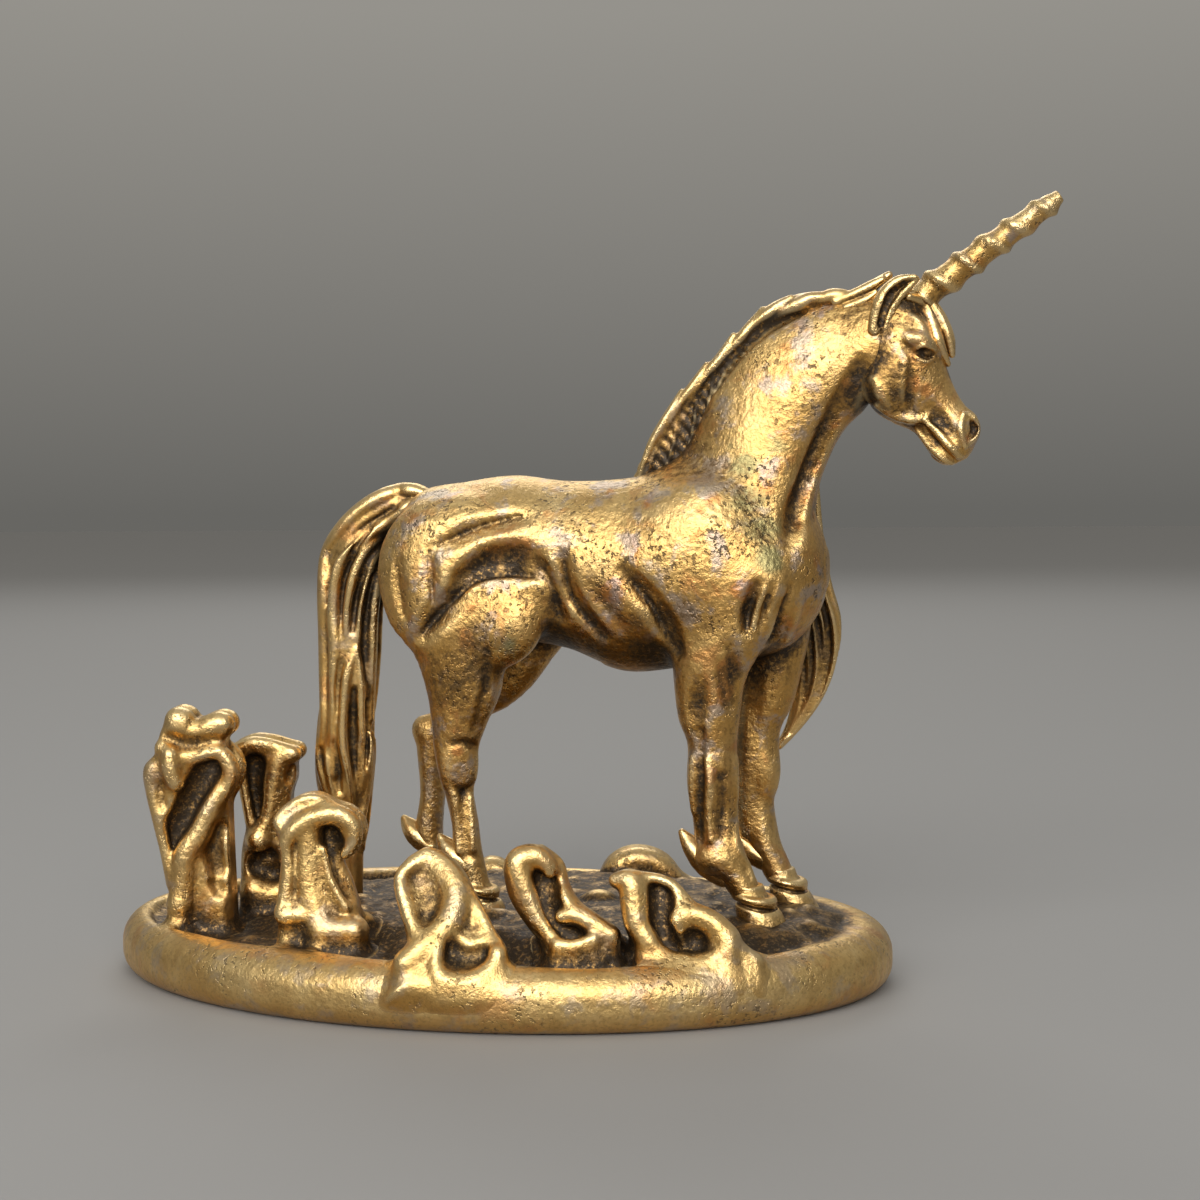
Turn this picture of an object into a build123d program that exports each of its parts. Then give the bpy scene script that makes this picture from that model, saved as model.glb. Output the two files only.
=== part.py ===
"""Unicorn figurine on an oval wave base, modelled as the castings that are brazed together."""
import math
import os

from build123d import *

# Frame: millimetres, +Z up, +X the way the unicorn faces, origin at the middle of the base's underside.
BASE_LENGTH = 53.2
BASE_WIDTH = 34.8
RIM_HEIGHT = 4.0
RIM_TOP_ROUND = 1.9
RIM_FOOT_ROUND = 1.5
RIM_WALL = 2.3
POOL_DEPTH = 0.8
GROUND = 4.9
HOOF_TOP = 6.4

# Mound under the hooves: height, middle along X, half length, half width.
MOUND = [
    (3.0, 2.2, 23.7, 14.2),
    (4.1, 3.6, 21.4, 12.0),
    (GROUND, 6.0, 17.4, 8.8),
]

# Pegs that locate the castings for brazing.
PEG_RADIUS = 0.5
PEG_LENGTH = 1.6

# The waves face the viewer's side, turned this far about Z.
WAVE_TURN = 13.0

# Torso stations along X: x, middle height, half height, half width.
TORSO = [
    (-7.5, 26.9, 1.5, 1.4),
    (-6.9, 27.1, 3.3, 3.2),
    (-5.0, 27.4, 5.2, 4.7),
    (-2.0, 27.6, 5.6, 5.2),
    (1.5, 28.0, 5.6, 5.3),
    (5.0, 27.6, 5.6, 5.3),
    (9.0, 26.9, 6.4, 5.4),
    (13.0, 27.4, 6.6, 5.1),
    (17.0, 27.3, 6.0, 4.6),
    (20.0, 27.0, 4.7, 3.9),
    (21.8, 27.2, 2.9, 2.6),
    (22.4, 27.4, 1.2, 1.2),
]

# Neck stations in the middle plane: crest x, z, throat x, z, half width.
NECK = [
    (10.6, 32.0, 20.6, 26.6, 3.6),
    (13.2, 35.4, 21.5, 31.2, 3.2),
    (14.9, 39.2, 21.8, 33.6, 2.7),
    (17.3, 42.2, 22.6, 35.2, 2.4),
    (20.3, 43.9, 23.8, 36.6, 2.2),
    (23.4, 44.7, 25.0, 37.8, 2.0),
    (25.8, 44.8, 26.2, 40.0, 1.6),
]

# Head: poll point, direction down the face, stations at distance s with front and jaw offsets, half width.
POLL = (26.3, 44.6)
FACE_ANGLE = 64.0
HEAD = [
    (-0.6, 1.0, -1.0, 0.8),
    (0.4, 1.8, -2.2, 1.6),
    (2.2, 1.9, -3.1, 2.1),
    (4.2, 1.7, -3.8, 2.3),
    (5.9, 1.4, -3.9, 2.0),
    (7.2, 1.3, -3.2, 1.6),
    (8.3, 1.4, -2.3, 1.35),
    (9.3, 1.75, -2.05, 1.5),
    (10.4, 1.4, -1.9, 1.4),
    (11.1, 0.6, -1.5, 1.0),
    (11.4, 0.1, -1.0, 0.4),
]
EYE_STATION = 3.9
EYE_FORWARD = 0.75
EYE_RADIUS = 0.55
EYE_SPREAD = 1.95

# Horn: root and tip in the middle plane, radii, depth of the seat, spiral ridge.
HORN_ROOT = (29.0, 45.1)
HORN_TIP = (37.1, 50.7)
HORN_ROOT_RADIUS = 1.1
HORN_TIP_RADIUS = 0.45
HORN_SEAT = 1.2
HORN_TURNS = 6
RIDGE_RADIUS = 0.36

# Legs: side of the middle plane, then stations z, x, half depth, half width from the body to the hoof.
LEGS = {
    "foreleg_right": (-3.1, [
        (29.5, 16.0, 2.2, 1.2),
        (26.5, 16.6, 3.7, 2.1),
        (23.5, 16.0, 3.3, 2.1),
        (20.5, 15.2, 2.4, 1.9),
        (17.8, 15.1, 2.0, 1.6),
        (16.0, 15.3, 1.6, 1.4),
        (13.6, 15.3, 1.65, 1.45),
        (11.4, 15.4, 1.4, 1.25),
        (9.0, 15.9, 1.55, 1.35),
        (7.4, 16.9, 1.2, 1.2),
        (HOOF_TOP, 17.6, 1.1, 1.15),
    ]),
    "foreleg_left": (3.1, [
        (29.5, 16.8, 2.2, 1.2),
        (26.5, 17.4, 3.7, 2.1),
        (23.5, 18.0, 3.0, 2.1),
        (20.5, 18.4, 2.0, 1.8),
        (18.0, 18.1, 1.6, 1.5),
        (16.3, 17.6, 1.3, 1.3),
        (14.0, 17.5, 1.3, 1.3),
        (11.6, 17.4, 1.05, 1.1),
        (9.0, 17.7, 1.15, 1.2),
        (7.6, 18.3, 1.1, 1.1),
        (HOOF_TOP, 18.9, 1.05, 1.1),
    ]),
    "hindleg_right": (-3.5, [
        (30.0, -2.4, 2.4, 1.1),
        (27.0, -2.5, 4.3, 2.2),
        (24.0, -2.2, 4.2, 2.3),
        (21.6, -1.5, 3.1, 2.0),
        (19.2, -1.3, 2.5, 1.7),
        (17.2, -1.6, 1.9, 1.45),
        (15.2, -1.9, 1.4, 1.35),
        (13.2, -1.8, 1.0, 1.1),
        (10.6, -1.3, 0.9, 0.95),
        (8.6, -1.1, 0.95, 1.0),
        (HOOF_TOP, -0.5, 0.85, 0.95),
    ]),
    "hindleg_left": (3.5, [
        (30.0, -1.6, 2.4, 1.1),
        (27.0, -1.0, 4.3, 2.2),
        (24.0, 0.2, 3.7, 2.3),
        (21.6, 0.6, 2.6, 1.9),
        (19.4, -0.4, 2.2, 1.6),
        (17.6, -2.6, 2.4, 1.4),
        (16.2, -4.9, 1.8, 1.3),
        (14.8, -5.7, 1.2, 1.2),
        (11.4, -5.8, 0.9, 0.95),
        (8.4, -6.1, 1.0, 1.0),
        (HOOF_TOP, -5.6, 0.85, 0.95),
    ]),
}

# Hooves: the toe reaches this far ahead of the leg, and the sole is this much wider.
HOOF_LEAD = 0.55
HOOF_FLARE = 1.35

# Fetlock hair: height on the leg, rise of the tip, reach behind the leg's middle, root radius.
TUFT_HEIGHT = 8.9
TUFT_RISE = 0.6
TUFT_REACH = 2.6
TUFT_RADIUS = 0.8
TUFT_TIP = 0.2
TUFT_STRANDS = 3

# Tail: x, z, half depth, half width; the section is fluted into strands.
TAIL = [
    (-4.8, 31.2, 0.8, 0.8),
    (-7.2, 31.6, 1.2, 1.2),
    (-9.3, 29.8, 1.9, 1.6),
    (-10.3, 26.6, 2.3, 1.8),
    (-10.4, 23.2, 2.1, 1.8),
    (-10.6, 19.6, 2.05, 1.8),
    (-11.0, 16.2, 2.2, 1.8),
    (-11.2, 13.0, 2.15, 1.7),
    (-11.1, 10.2, 1.6, 1.4),
    (-10.7, 7.2, 1.0, 1.0),
    (-10.4, 4.2, 0.6, 0.6),
]
TAIL_STRANDS = 6

# Hair sections: how far in the grooves between strands lie, as a share of the half size.
GROOVE = 0.78

# Mane crest: outer points along the neck, the line that is buried in the neck, plate thickness.
CREST_OUTER = [
    (9.0, 33.4),
    (10.9, 35.8),
    (12.9, 38.3),
    (15.1, 41.0),
    (17.8, 43.3),
    (20.6, 44.7),
    (23.6, 45.1),
    (26.4, 46.1),
]
CREST_INNER = [(26.4, 43.6), (21.0, 42.6), (17.0, 39.8), (14.6, 35.6), (11.0, 31.6)]
CREST_SCALLOP = 0.3
CREST_THICK = 1.5

# Mane locks that fall on the far side: points from the crest to the tip, half width at the root.
LOCKS = [
    ([(14.6, 1.5, 37.6), (13.6, 3.6, 34.6), (12.6, 5.0, 31.0), (12.4, 5.9, 27.6), (11.6, 6.2, 24.8)], 2.3),
    ([(16.2, 1.5, 40.6), (16.0, 3.4, 37.6), (15.6, 4.6, 33.4), (15.8, 5.6, 29.0), (16.2, 6.0, 25.4),
      (15.6, 6.2, 22.2)], 2.5),
    ([(18.6, 1.5, 42.8), (18.9, 3.2, 40.0), (19.2, 4.2, 35.6), (19.2, 5.0, 31.0), (19.6, 5.8, 27.0),
      (20.7, 6.6, 23.0), (20.7, 7.0, 19.4), (19.6, 7.0, 16.6), (18.3, 6.8, 14.8)], 2.4),
    ([(21.8, 1.5, 44.0), (21.8, 2.9, 41.6), (21.0, 3.5, 38.6), (20.6, 3.8, 35.6), (19.6, 4.2, 32.8)], 1.6),
]
LOCK_THICK = 0.9
LOCK_TIP = 0.3
LOCK_STRANDS = 4

# Forelock: points down the forehead, half width and half thickness at the root, share left at the tip.
FORELOCK_PATH = [(28.6, 44.9), (29.25, 43.6), (29.8, 42.0), (30.05, 40.6), (30.15, 39.7)]
FORELOCK_HALF = 1.3
FORELOCK_THICK = 0.75
FORELOCK_TIP = 0.4
FORELOCK_STRANDS = 6

# Ears: stations x, z, half width, half thickness; the right ear stands at this side offset.
EAR = [
    (25.9, 42.3, 0.55, 0.5),
    (26.7, 43.6, 0.9, 0.55),
    (27.4, 44.7, 0.75, 0.45),
    (28.0, 45.7, 0.2, 0.15),
]
EAR_SIDE = 1.9
EAR_SCOOP = 0.55

# Waves, cast as thick curls with hollows sunk in the near face: foot, lean away from the viewer,
# outline from right foot over the crest to left foot, outlines of the hollows (all right, up), half thickness.
# Every second point of an outline is the middle of an arc.
CURLS = {
    "wave_tall": ((-19.8, -6.5, 3.8), 0, [
        (3.2, -1.2), (3.0, 4.8), (2.9, 9.0), (2.7, 11.9), (2.8, 13.3), (1.8, 14.0), (0.6, 13.6), (-0.6, 13.9),
        (-1.5, 13.0), (-1.8, 11.6), (-2.7, 10.5), (-2.6, 8.9), (-1.9, 6.0), (-1.0, 3.0), (-0.9, -1.2),
    ], [
        [(0.7, 10.0), (1.8, 10.8), (2.2, 10.5), (2.0, 9.2), (0.2, 6.1), (-0.9, 4.8), (-1.4, 5.6), (-0.6, 7.4)],
        [(1.4, 6.0), (2.1, 6.2), (2.4, 4.8), (2.4, 2.7), (1.9, 2.2), (1.3, 4.1)],
    ], 1.7),
    "wave_column": ((-16.7, -1.7, 3.9), 0, [
        (2.5, -1.2), (2.6, 4.6), (2.3, 7.6), (2.7, 9.2), (2.4, 10.7), (0.8, 11.5), (-0.6, 11.4),
        (-1.4, 11.1), (-1.6, 10.4), (-1.1, 8.0), (-0.8, 6.0), (-1.2, 3.6), (-1.2, -1.2),
    ], [
        [(-1.1, 9.7), (-0.2, 9.8), (-0.2, 8.5), (-0.3, 6.9), (-0.7, 7.1), (-1.0, 8.5)],
        [(-0.8, 3.2), (-0.3, 3.7), (0.3, 3.6), (0.9, 3.0), (0.5, 1.8), (-0.4, 1.9)],
    ], 1.5),
    "wave_tail": ((-9.0, -11.0, 3.6), 4, [
        (2.8, -1.2), (3.0, 1.6), (2.3, 4.2), (1.8, 5.6), (2.6, 7.4), (1.9, 8.8), (0.3, 9.8),
        (-1.2, 9.5), (-2.6, 8.2), (-2.2, 6.8), (-2.1, 5.5), (-2.3, 3.0), (-2.3, -1.2),
    ], [
        [(0.3, 7.6), (1.0, 7.7), (1.4, 6.6), (1.7, 5.0), (2.2, 3.4), (1.9, 2.9), (1.0, 4.5), (0.2, 6.1)],
        [(-1.7, 6.4), (-1.3, 6.7), (-1.0, 6.1), (-0.7, 4.5), (-0.7, 2.9), (-1.0, 1.8), (-1.4, 3.2), (-1.8, 5.0)],
    ], 1.5),
    "wave_rim": ((0.8, -15.9, 3.6), 30, [
        (3.0, -1.8), (3.7, 0.2), (3.5, 1.5), (2.5, 3.3), (1.4, 5.0), (0.5, 6.5), (-0.4, 7.3), (-1.3, 7.2),
        (-2.2, 6.6), (-2.8, 5.6), (-2.6, 4.1), (-2.1, 2.5), (-2.0, 1.2), (-2.3, -0.1), (-3.0, -1.8),
    ], [
        [(-1.0, 6.5), (-2.0, 6.2), (-2.3, 5.0), (-2.0, 3.4), (-1.4, 2.2), (-0.7, 2.8), (-0.1, 3.6), (-0.9, 5.3)],
        [(0.0, 1.2), (0.6, 1.6), (1.4, 1.5), (2.4, 1.1), (3.0, 0.4), (2.3, -0.5), (1.0, -0.8), (0.0, -0.2)],
    ], 1.1),
    "wave_belly": ((6.0, -12.5, 3.9), 15, [
        (4.4, -1.2), (4.6, 1.0), (3.0, 3.0), (1.8, 4.4), (1.2, 5.8), (0.2, 6.5), (-1.2, 6.4),
        (-2.0, 5.6), (-1.9, 4.2), (-1.4, 3.0), (-0.5, 1.7), (0.3, 0.6), (0.4, -1.2),
    ], [
        [(-0.6, 4.4), (0.3, 5.2), (0.9, 4.7), (1.4, 3.5), (2.0, 2.2), (3.3, 1.6), (3.2, 1.0), (2.1, 0.7),
         (1.1, 1.0), (0.2, 2.0)],
    ], 1.3),
    "wave_front": ((13.5, -11.5, 3.9), 15, [
        (4.4, -1.4), (4.7, 0.4), (4.2, 1.6), (3.1, 2.6), (1.7, 3.7), (0.5, 4.5), (-1.2, 5.0), (-2.9, 5.0),
        (-2.4, 4.1), (-2.2, 2.9), (-1.6, 1.4), (-0.7, 0.4), (-0.4, -1.4),
    ], [
        [(-0.6, 4.3), (0.4, 3.9), (0.9, 2.9), (0.8, 1.6), (1.6, 1.2), (2.5, 1.1), (2.8, 0.5), (2.2, 0.0),
         (0.6, 0.2), (-0.5, 1.8)],
    ], 1.3),
    "wave_far_front": ((6.5, 12.8, 4.0), 0, [(4.6, -1.4), (2.9, 1.5), (0.4, 2.4), (-1.8, 1.4), (-3.0, -1.4)], [], 1.5),
    "wave_far_rear": ((-4.5, 13.0, 4.0), 0, [(2.0, -1.4), (1.5, 0.6), (0.1, 1.2), (-1.0, 0.5), (-1.6, -1.4)], [], 1.2),
}
CURL_HOLLOW = 1.4


def fluted(half_x, half_y, strands):
    """Face of an ellipse cut into strands by sharp grooves."""
    points = []
    for i in range(2 * strands):
        angle = math.pi * i / strands
        size = GROOVE if i % 2 else 1.0
        points.append((half_x * size * math.cos(angle), half_y * size * math.sin(angle)))
    with BuildSketch() as outline:
        with BuildLine():
            Polyline(*points, close=True)
        make_face()
    return outline.sketch


def hair(points, halves, across, strands):
    """Loft of fluted sections square to a smooth run through points; halves holds (half across, half other)."""
    run = Spline(*points)
    with BuildPart() as body:
        for i, (half_across, half_other) in enumerate(halves):
            at = run.param_at_point(points[i])
            with BuildSketch(Plane(origin=run @ at, x_dir=across, z_dir=run % at)):
                add(fluted(half_across, half_other, strands))
        loft(ruled=True)
    return body.part


def blend(start, end, count):
    """Evenly stepped values from start to end."""
    return [start + (end - start) * i / (count - 1) for i in range(count)]


def face_plane(station, offset):
    """Plane across the head at a distance down the face, shifted forward by offset."""
    angle = math.radians(FACE_ANGLE)
    x = POLL[0] + station * math.cos(angle) + offset * math.sin(angle)
    z = POLL[1] - station * math.sin(angle) + offset * math.cos(angle)
    return Plane(origin=(x, 0, z), x_dir=(0, 1, 0), z_dir=(math.cos(angle), 0, -math.sin(angle)))


os.makedirs("parts", exist_ok=True)

# Waves: profiled relief plates on upright or leaning planes; the plain blanks cut their seats in the base.
turn = math.radians(WAVE_TURN)
right = Vector(math.cos(turn), math.sin(turn), 0)
near = Vector(math.sin(turn), -math.cos(turn), 0)
seats = []
for name, (foot, lean, outline, hollows, half_thick) in CURLS.items():
    tilt = math.radians(lean)
    face = Plane(origin=foot, x_dir=right, z_dir=near * math.cos(tilt) + Vector(0, 0, math.sin(tilt)))
    with BuildPart() as blank:
        with BuildSketch(face):
            with BuildLine():
                for i in range(0, len(outline) - 2, 2):
                    ThreePointArc(outline[i], outline[i + 1], outline[i + 2])
                Line(outline[-1], outline[0])
            make_face()
        extrude(amount=half_thick, both=True)
    seats.append(blank.part)

    with BuildPart() as curl:
        add(blank.part)
        for hollow in hollows:
            with BuildSketch(face.offset(half_thick)):
                with BuildLine():
                    for i in range(0, len(hollow), 2):
                        ThreePointArc(hollow[i], hollow[i + 1], hollow[(i + 2) % len(hollow)])
                make_face()
            extrude(amount=-CURL_HOLLOW, mode=Mode.SUBTRACT)
    curl.part.label = name
    export_step(curl.part, f"parts/{name}.step")

# Torso: barrel with rump and breast.
with BuildPart() as torso:
    for x, z, half_high, half_wide in TORSO:
        with BuildSketch(Plane(origin=(x, 0, z), x_dir=(0, 1, 0), z_dir=(1, 0, 0))):
            Ellipse(half_wide, half_high)
    loft()

# Head: loft down the face with eyes set in the temples.
with BuildPart() as head:
    for station, front, jaw, half_wide in HEAD:
        with BuildSketch(face_plane(station, (front + jaw) / 2)):
            Ellipse(half_wide, (front - jaw) / 2)
    loft()
    eye = face_plane(EYE_STATION, EYE_FORWARD).origin
    with Locations((eye.X, EYE_SPREAD, eye.Z), (eye.X, -EYE_SPREAD, eye.Z)):
        Sphere(EYE_RADIUS)

# Horn: tapered core with one spiral ridge, seated in the forehead.
horn_axis = Vector(HORN_TIP[0] - HORN_ROOT[0], 0, HORN_TIP[1] - HORN_ROOT[1])
horn_length = horn_axis.length
horn_start = Vector(HORN_ROOT[0], 0, HORN_ROOT[1]) - horn_axis.normalized() * HORN_SEAT
horn_plane = Plane(origin=horn_start, x_dir=(0, 1, 0), z_dir=horn_axis)
horn_slope = (HORN_ROOT_RADIUS - HORN_TIP_RADIUS) / (horn_length + HORN_SEAT)
with BuildPart() as horn:
    with BuildSketch(horn_plane):
        Circle(HORN_ROOT_RADIUS)
    with BuildSketch(horn_plane.offset(horn_length + HORN_SEAT)):
        Circle(HORN_TIP_RADIUS)
    loft()
    fillet(horn.edges().sort_by(Axis(horn_start, horn_axis))[-1], HORN_TIP_RADIUS * 0.8)
    spiral = horn_plane.location * Helix(
        pitch=horn_length / HORN_TURNS,
        height=horn_length,
        radius=HORN_ROOT_RADIUS,
        cone_angle=-math.degrees(math.atan(horn_slope)),
    )
    with BuildSketch(Plane(origin=spiral @ 0, z_dir=spiral % 0)):
        RegularPolygon(RIDGE_RADIUS, 3)
    sweep(path=spiral)
horn.part.label = "horn"
export_step(horn.part, "parts/horn.step")

# Neck: arched loft between the breast and the poll.
with BuildPart() as neck:
    for crest_x, crest_z, throat_x, throat_z, half_wide in NECK:
        middle = Vector((crest_x + throat_x) / 2, 0, (crest_z + throat_z) / 2)
        depth = Vector(throat_x - crest_x, 0, throat_z - crest_z)
        with BuildSketch(Plane(origin=middle, x_dir=(0, 1, 0), z_dir=(-depth.Z, 0, depth.X))):
            Ellipse(half_wide, depth.length / 2)
    loft()
    add(torso.part, mode=Mode.SUBTRACT)
    add(head.part, mode=Mode.SUBTRACT)
neck.part.label = "neck"
export_step(neck.part, "parts/neck.step")

# Legs, hooves with pegs, and fetlock hair.
legs = {}
for name, (side, stations) in LEGS.items():
    with BuildPart() as leg:
        for z, x, half_deep, half_wide in stations:
            with BuildSketch(Plane(origin=(x, side, z))):
                Ellipse(half_deep, half_wide)
        loft()
        add(torso.part, mode=Mode.SUBTRACT)
        add(neck.part, mode=Mode.SUBTRACT)
    leg.part.label = name
    export_step(leg.part, f"parts/{name}.step")
    legs[name] = leg.part

    toe_x, toe_deep, toe_wide = stations[-1][1:]
    sole_x = toe_x + HOOF_LEAD
    with BuildPart() as hoof:
        with BuildSketch(Plane(origin=(sole_x, side, GROUND))):
            Ellipse(toe_deep * HOOF_FLARE, toe_wide * HOOF_FLARE)
        with BuildSketch(Plane(origin=(toe_x, side, HOOF_TOP))):
            Ellipse(toe_deep, toe_wide)
        loft()
        with BuildSketch(Plane(origin=(sole_x, side, GROUND))):
            Circle(PEG_RADIUS)
        extrude(amount=-PEG_LENGTH)
    hoof_name = name.replace("leg", "").replace("fore", "hoof_fore").replace("hind", "hoof_hind")
    hoof.part.label = hoof_name
    export_step(hoof.part, f"parts/{hoof_name}.step")

    above, below = stations[-3], stations[-2]
    share = (above[0] - TUFT_HEIGHT) / (above[0] - below[0])
    shank_x = above[1] + (below[1] - above[1]) * share
    tuft_points = [
        (shank_x, side, TUFT_HEIGHT),
        (shank_x - TUFT_REACH * 0.6, side, TUFT_HEIGHT),
        (shank_x - TUFT_REACH, side, TUFT_HEIGHT + TUFT_RISE),
    ]
    sizes = [TUFT_RADIUS, TUFT_RADIUS * 0.8, TUFT_TIP]
    with BuildPart() as tuft:
        add(hair(tuft_points, list(zip(sizes, sizes)), (0, 1, 0), TUFT_STRANDS))
        add(leg.part, mode=Mode.SUBTRACT)
    tuft_name = hoof_name.replace("hoof", "tuft")
    tuft.part.label = tuft_name
    export_step(tuft.part, f"parts/{tuft_name}.step")

# Tail: fluted loft from a socket in the rump to the water.
tail_points = [(x, 0, z) for x, z, half_deep, half_wide in TAIL]
tail_halves = [(half_wide, half_deep) for x, z, half_deep, half_wide in TAIL]
with BuildPart() as tail:
    add(hair(tail_points, tail_halves, (0, 1, 0), TAIL_STRANDS))
tail.part.label = "tail"
export_step(tail.part, "parts/tail.step")

# Mane crest: scalloped plate along the top of the neck.
with BuildPart() as mane_crest:
    with BuildSketch(Plane.XZ):
        with BuildLine():
            for start, end in zip(CREST_OUTER, CREST_OUTER[1:]):
                chord = Vector(end) - Vector(start)
                lift = Vector(-chord.Y, chord.X).normalized() * CREST_SCALLOP
                ThreePointArc(start, (Vector(start) + Vector(end)) * 0.5 + lift, end)
            Line(CREST_OUTER[-1], CREST_INNER[0])
            Spline(*CREST_INNER)
            Line(CREST_INNER[-1], CREST_OUTER[0])
        make_face()
    extrude(amount=CREST_THICK / 2, both=True)
    add(neck.part, mode=Mode.SUBTRACT)
    add(torso.part, mode=Mode.SUBTRACT)
    add(head.part, mode=Mode.SUBTRACT)
    add(horn.part, mode=Mode.SUBTRACT)
mane_crest.part.label = "mane_crest"
export_step(mane_crest.part, "parts/mane_crest.step")

# Mane locks: flat tapered locks that hang from the crest on the far side, each laid against the last.
locks = []
for number, (points, half_root) in enumerate(LOCKS, start=1):
    widths = blend(half_root, LOCK_TIP, len(points))
    thicks = blend(LOCK_THICK, LOCK_TIP, len(points))
    with BuildPart() as lock:
        add(hair(points, list(zip(widths, thicks)), (1, 0, 0), LOCK_STRANDS))
        add(neck.part, mode=Mode.SUBTRACT)
        add(torso.part, mode=Mode.SUBTRACT)
        add(mane_crest.part, mode=Mode.SUBTRACT)
        add(legs["foreleg_left"], mode=Mode.SUBTRACT)
        for laid in locks:
            add(laid, mode=Mode.SUBTRACT)
    lock.part.label = f"mane_lock_{number}"
    export_step(lock.part, f"parts/mane_lock_{number}.step")
    locks.append(lock.part)

# Forelock: strands that lie on the forehead below the horn.
forelock_points = [(x, 0, z) for x, z in FORELOCK_PATH]
shares = blend(1.0, FORELOCK_TIP, len(FORELOCK_PATH))
with BuildPart() as forelock:
    sizes = [(FORELOCK_HALF * share, FORELOCK_THICK * share) for share in shares]
    add(hair(forelock_points, sizes, (0, 1, 0), FORELOCK_STRANDS))
    add(head.part, mode=Mode.SUBTRACT)
    add(horn.part, mode=Mode.SUBTRACT)
forelock.part.label = "forelock"
export_step(forelock.part, "parts/forelock.step")

# Ears: leaf shaped lofts with a scooped front.
ear_way = Vector(EAR[-1][0] - EAR[0][0], 0, EAR[-1][1] - EAR[0][1])
for name, side in (("ear_right", -EAR_SIDE), ("ear_left", EAR_SIDE)):
    outward = math.copysign(1, side)
    with BuildPart() as ear:
        for x, z, half_wide, half_thick in EAR:
            with BuildSketch(Plane(origin=(x, side, z), x_dir=(0, 1, 0), z_dir=ear_way)):
                Ellipse(half_thick, half_wide)
        loft(ruled=True)
        for x, z, half_wide, half_thick in EAR:
            place = (x, side + outward * half_thick, z)
            with BuildSketch(Plane(origin=place, x_dir=(0, 1, 0), z_dir=ear_way)):
                Ellipse(half_thick * EAR_SCOOP, half_wide * EAR_SCOOP)
        loft(ruled=True, mode=Mode.SUBTRACT)
        add(head.part, mode=Mode.SUBTRACT)
        add(neck.part, mode=Mode.SUBTRACT)
        add(mane_crest.part, mode=Mode.SUBTRACT)
    ear.part.label = name
    export_step(ear.part, f"parts/{name}.step")

# Torso and head last: their sockets take the tail and the horn.
with BuildPart() as torso_socketed:
    add(torso.part)
    add(tail.part, mode=Mode.SUBTRACT)
torso_socketed.part.label = "torso"
export_step(torso_socketed.part, "parts/torso.step")

with BuildPart() as head_socketed:
    add(head.part)
    add(horn.part, mode=Mode.SUBTRACT)
head_socketed.part.label = "head"
export_step(head_socketed.part, "parts/head.step")

# Base: bullnosed oval slab, sunk pool and mound, with pockets for the waves, the tail and the hoof pegs.
hoof_places = []
for side, stations in LEGS.values():
    hoof_places.append((stations[-1][1] + HOOF_LEAD, side))

with BuildPart() as base_plate:
    with BuildSketch(Plane.XY):
        Ellipse(BASE_LENGTH / 2, BASE_WIDTH / 2)
    extrude(amount=RIM_HEIGHT)
    fillet(base_plate.edges().group_by(Axis.Z)[-1], RIM_TOP_ROUND)
    fillet(base_plate.edges().group_by(Axis.Z)[0], RIM_FOOT_ROUND)
    with BuildSketch(Plane.XY.offset(RIM_HEIGHT)):
        Ellipse(BASE_LENGTH / 2 - RIM_WALL, BASE_WIDTH / 2 - RIM_WALL)
    extrude(amount=-POOL_DEPTH, mode=Mode.SUBTRACT)
    for z, x, half_long, half_wide in MOUND:
        with BuildSketch(Plane(origin=(x, 0, z))):
            Ellipse(half_long, half_wide)
    loft()
    with BuildSketch(Plane.XY.offset(GROUND)):
        with Locations(*hoof_places):
            Circle(PEG_RADIUS)
    extrude(amount=-PEG_LENGTH, mode=Mode.SUBTRACT)
    for seated in seats + [tail.part]:
        add(seated, mode=Mode.SUBTRACT)
base_plate.part.label = "base_plate"
export_step(base_plate.part, "parts/base_plate.step")
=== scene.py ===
"""Looks of the unicorn figurine: an antiqued brass casting, modelled like wax on distance grids."""
import math

import bpy
import numpy as np
from mathutils import Matrix


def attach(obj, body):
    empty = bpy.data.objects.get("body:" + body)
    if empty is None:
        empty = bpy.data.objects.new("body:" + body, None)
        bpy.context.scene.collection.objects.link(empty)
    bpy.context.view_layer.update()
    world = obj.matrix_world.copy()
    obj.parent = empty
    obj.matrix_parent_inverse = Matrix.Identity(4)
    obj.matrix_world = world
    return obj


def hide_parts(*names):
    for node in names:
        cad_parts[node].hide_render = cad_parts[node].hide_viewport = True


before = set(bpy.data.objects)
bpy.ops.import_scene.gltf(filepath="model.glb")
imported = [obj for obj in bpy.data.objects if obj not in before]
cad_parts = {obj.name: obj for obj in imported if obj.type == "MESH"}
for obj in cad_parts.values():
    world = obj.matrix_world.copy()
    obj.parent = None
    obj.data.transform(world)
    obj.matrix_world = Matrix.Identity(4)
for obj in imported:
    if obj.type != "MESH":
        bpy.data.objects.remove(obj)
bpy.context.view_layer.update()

# Sizes are in millimetres until a mesh is made, in the frame of the solids.
MM = 0.001

# The photograph's camera: place, turn about Z, look down, roll, focal length in pixels of a 1200 square.
LENS_PLACE = np.array([35.8, -123.8, 31.2])
LENS_TURN = math.radians(13.0)
LENS_DOWN = math.radians(2.7)
LENS_ROLL = math.radians(0.42)
LENS_FOCAL = 1900.0
PHOTO_HALF = 600.0


def lens_axes():
    """Right, up and forward of the camera."""
    right = np.array([math.cos(LENS_TURN), math.sin(LENS_TURN), 0.0])
    ahead = np.array([-math.sin(LENS_TURN) * math.cos(LENS_DOWN), math.cos(LENS_TURN) * math.cos(LENS_DOWN),
                      -math.sin(LENS_DOWN)])
    up = np.cross(right, ahead)
    c, s = math.cos(LENS_ROLL), math.sin(LENS_ROLL)
    return c * right - s * up, s * right + c * up, ahead


LENS_RIGHT, LENS_UP, LENS_AHEAD = lens_axes()


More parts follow.
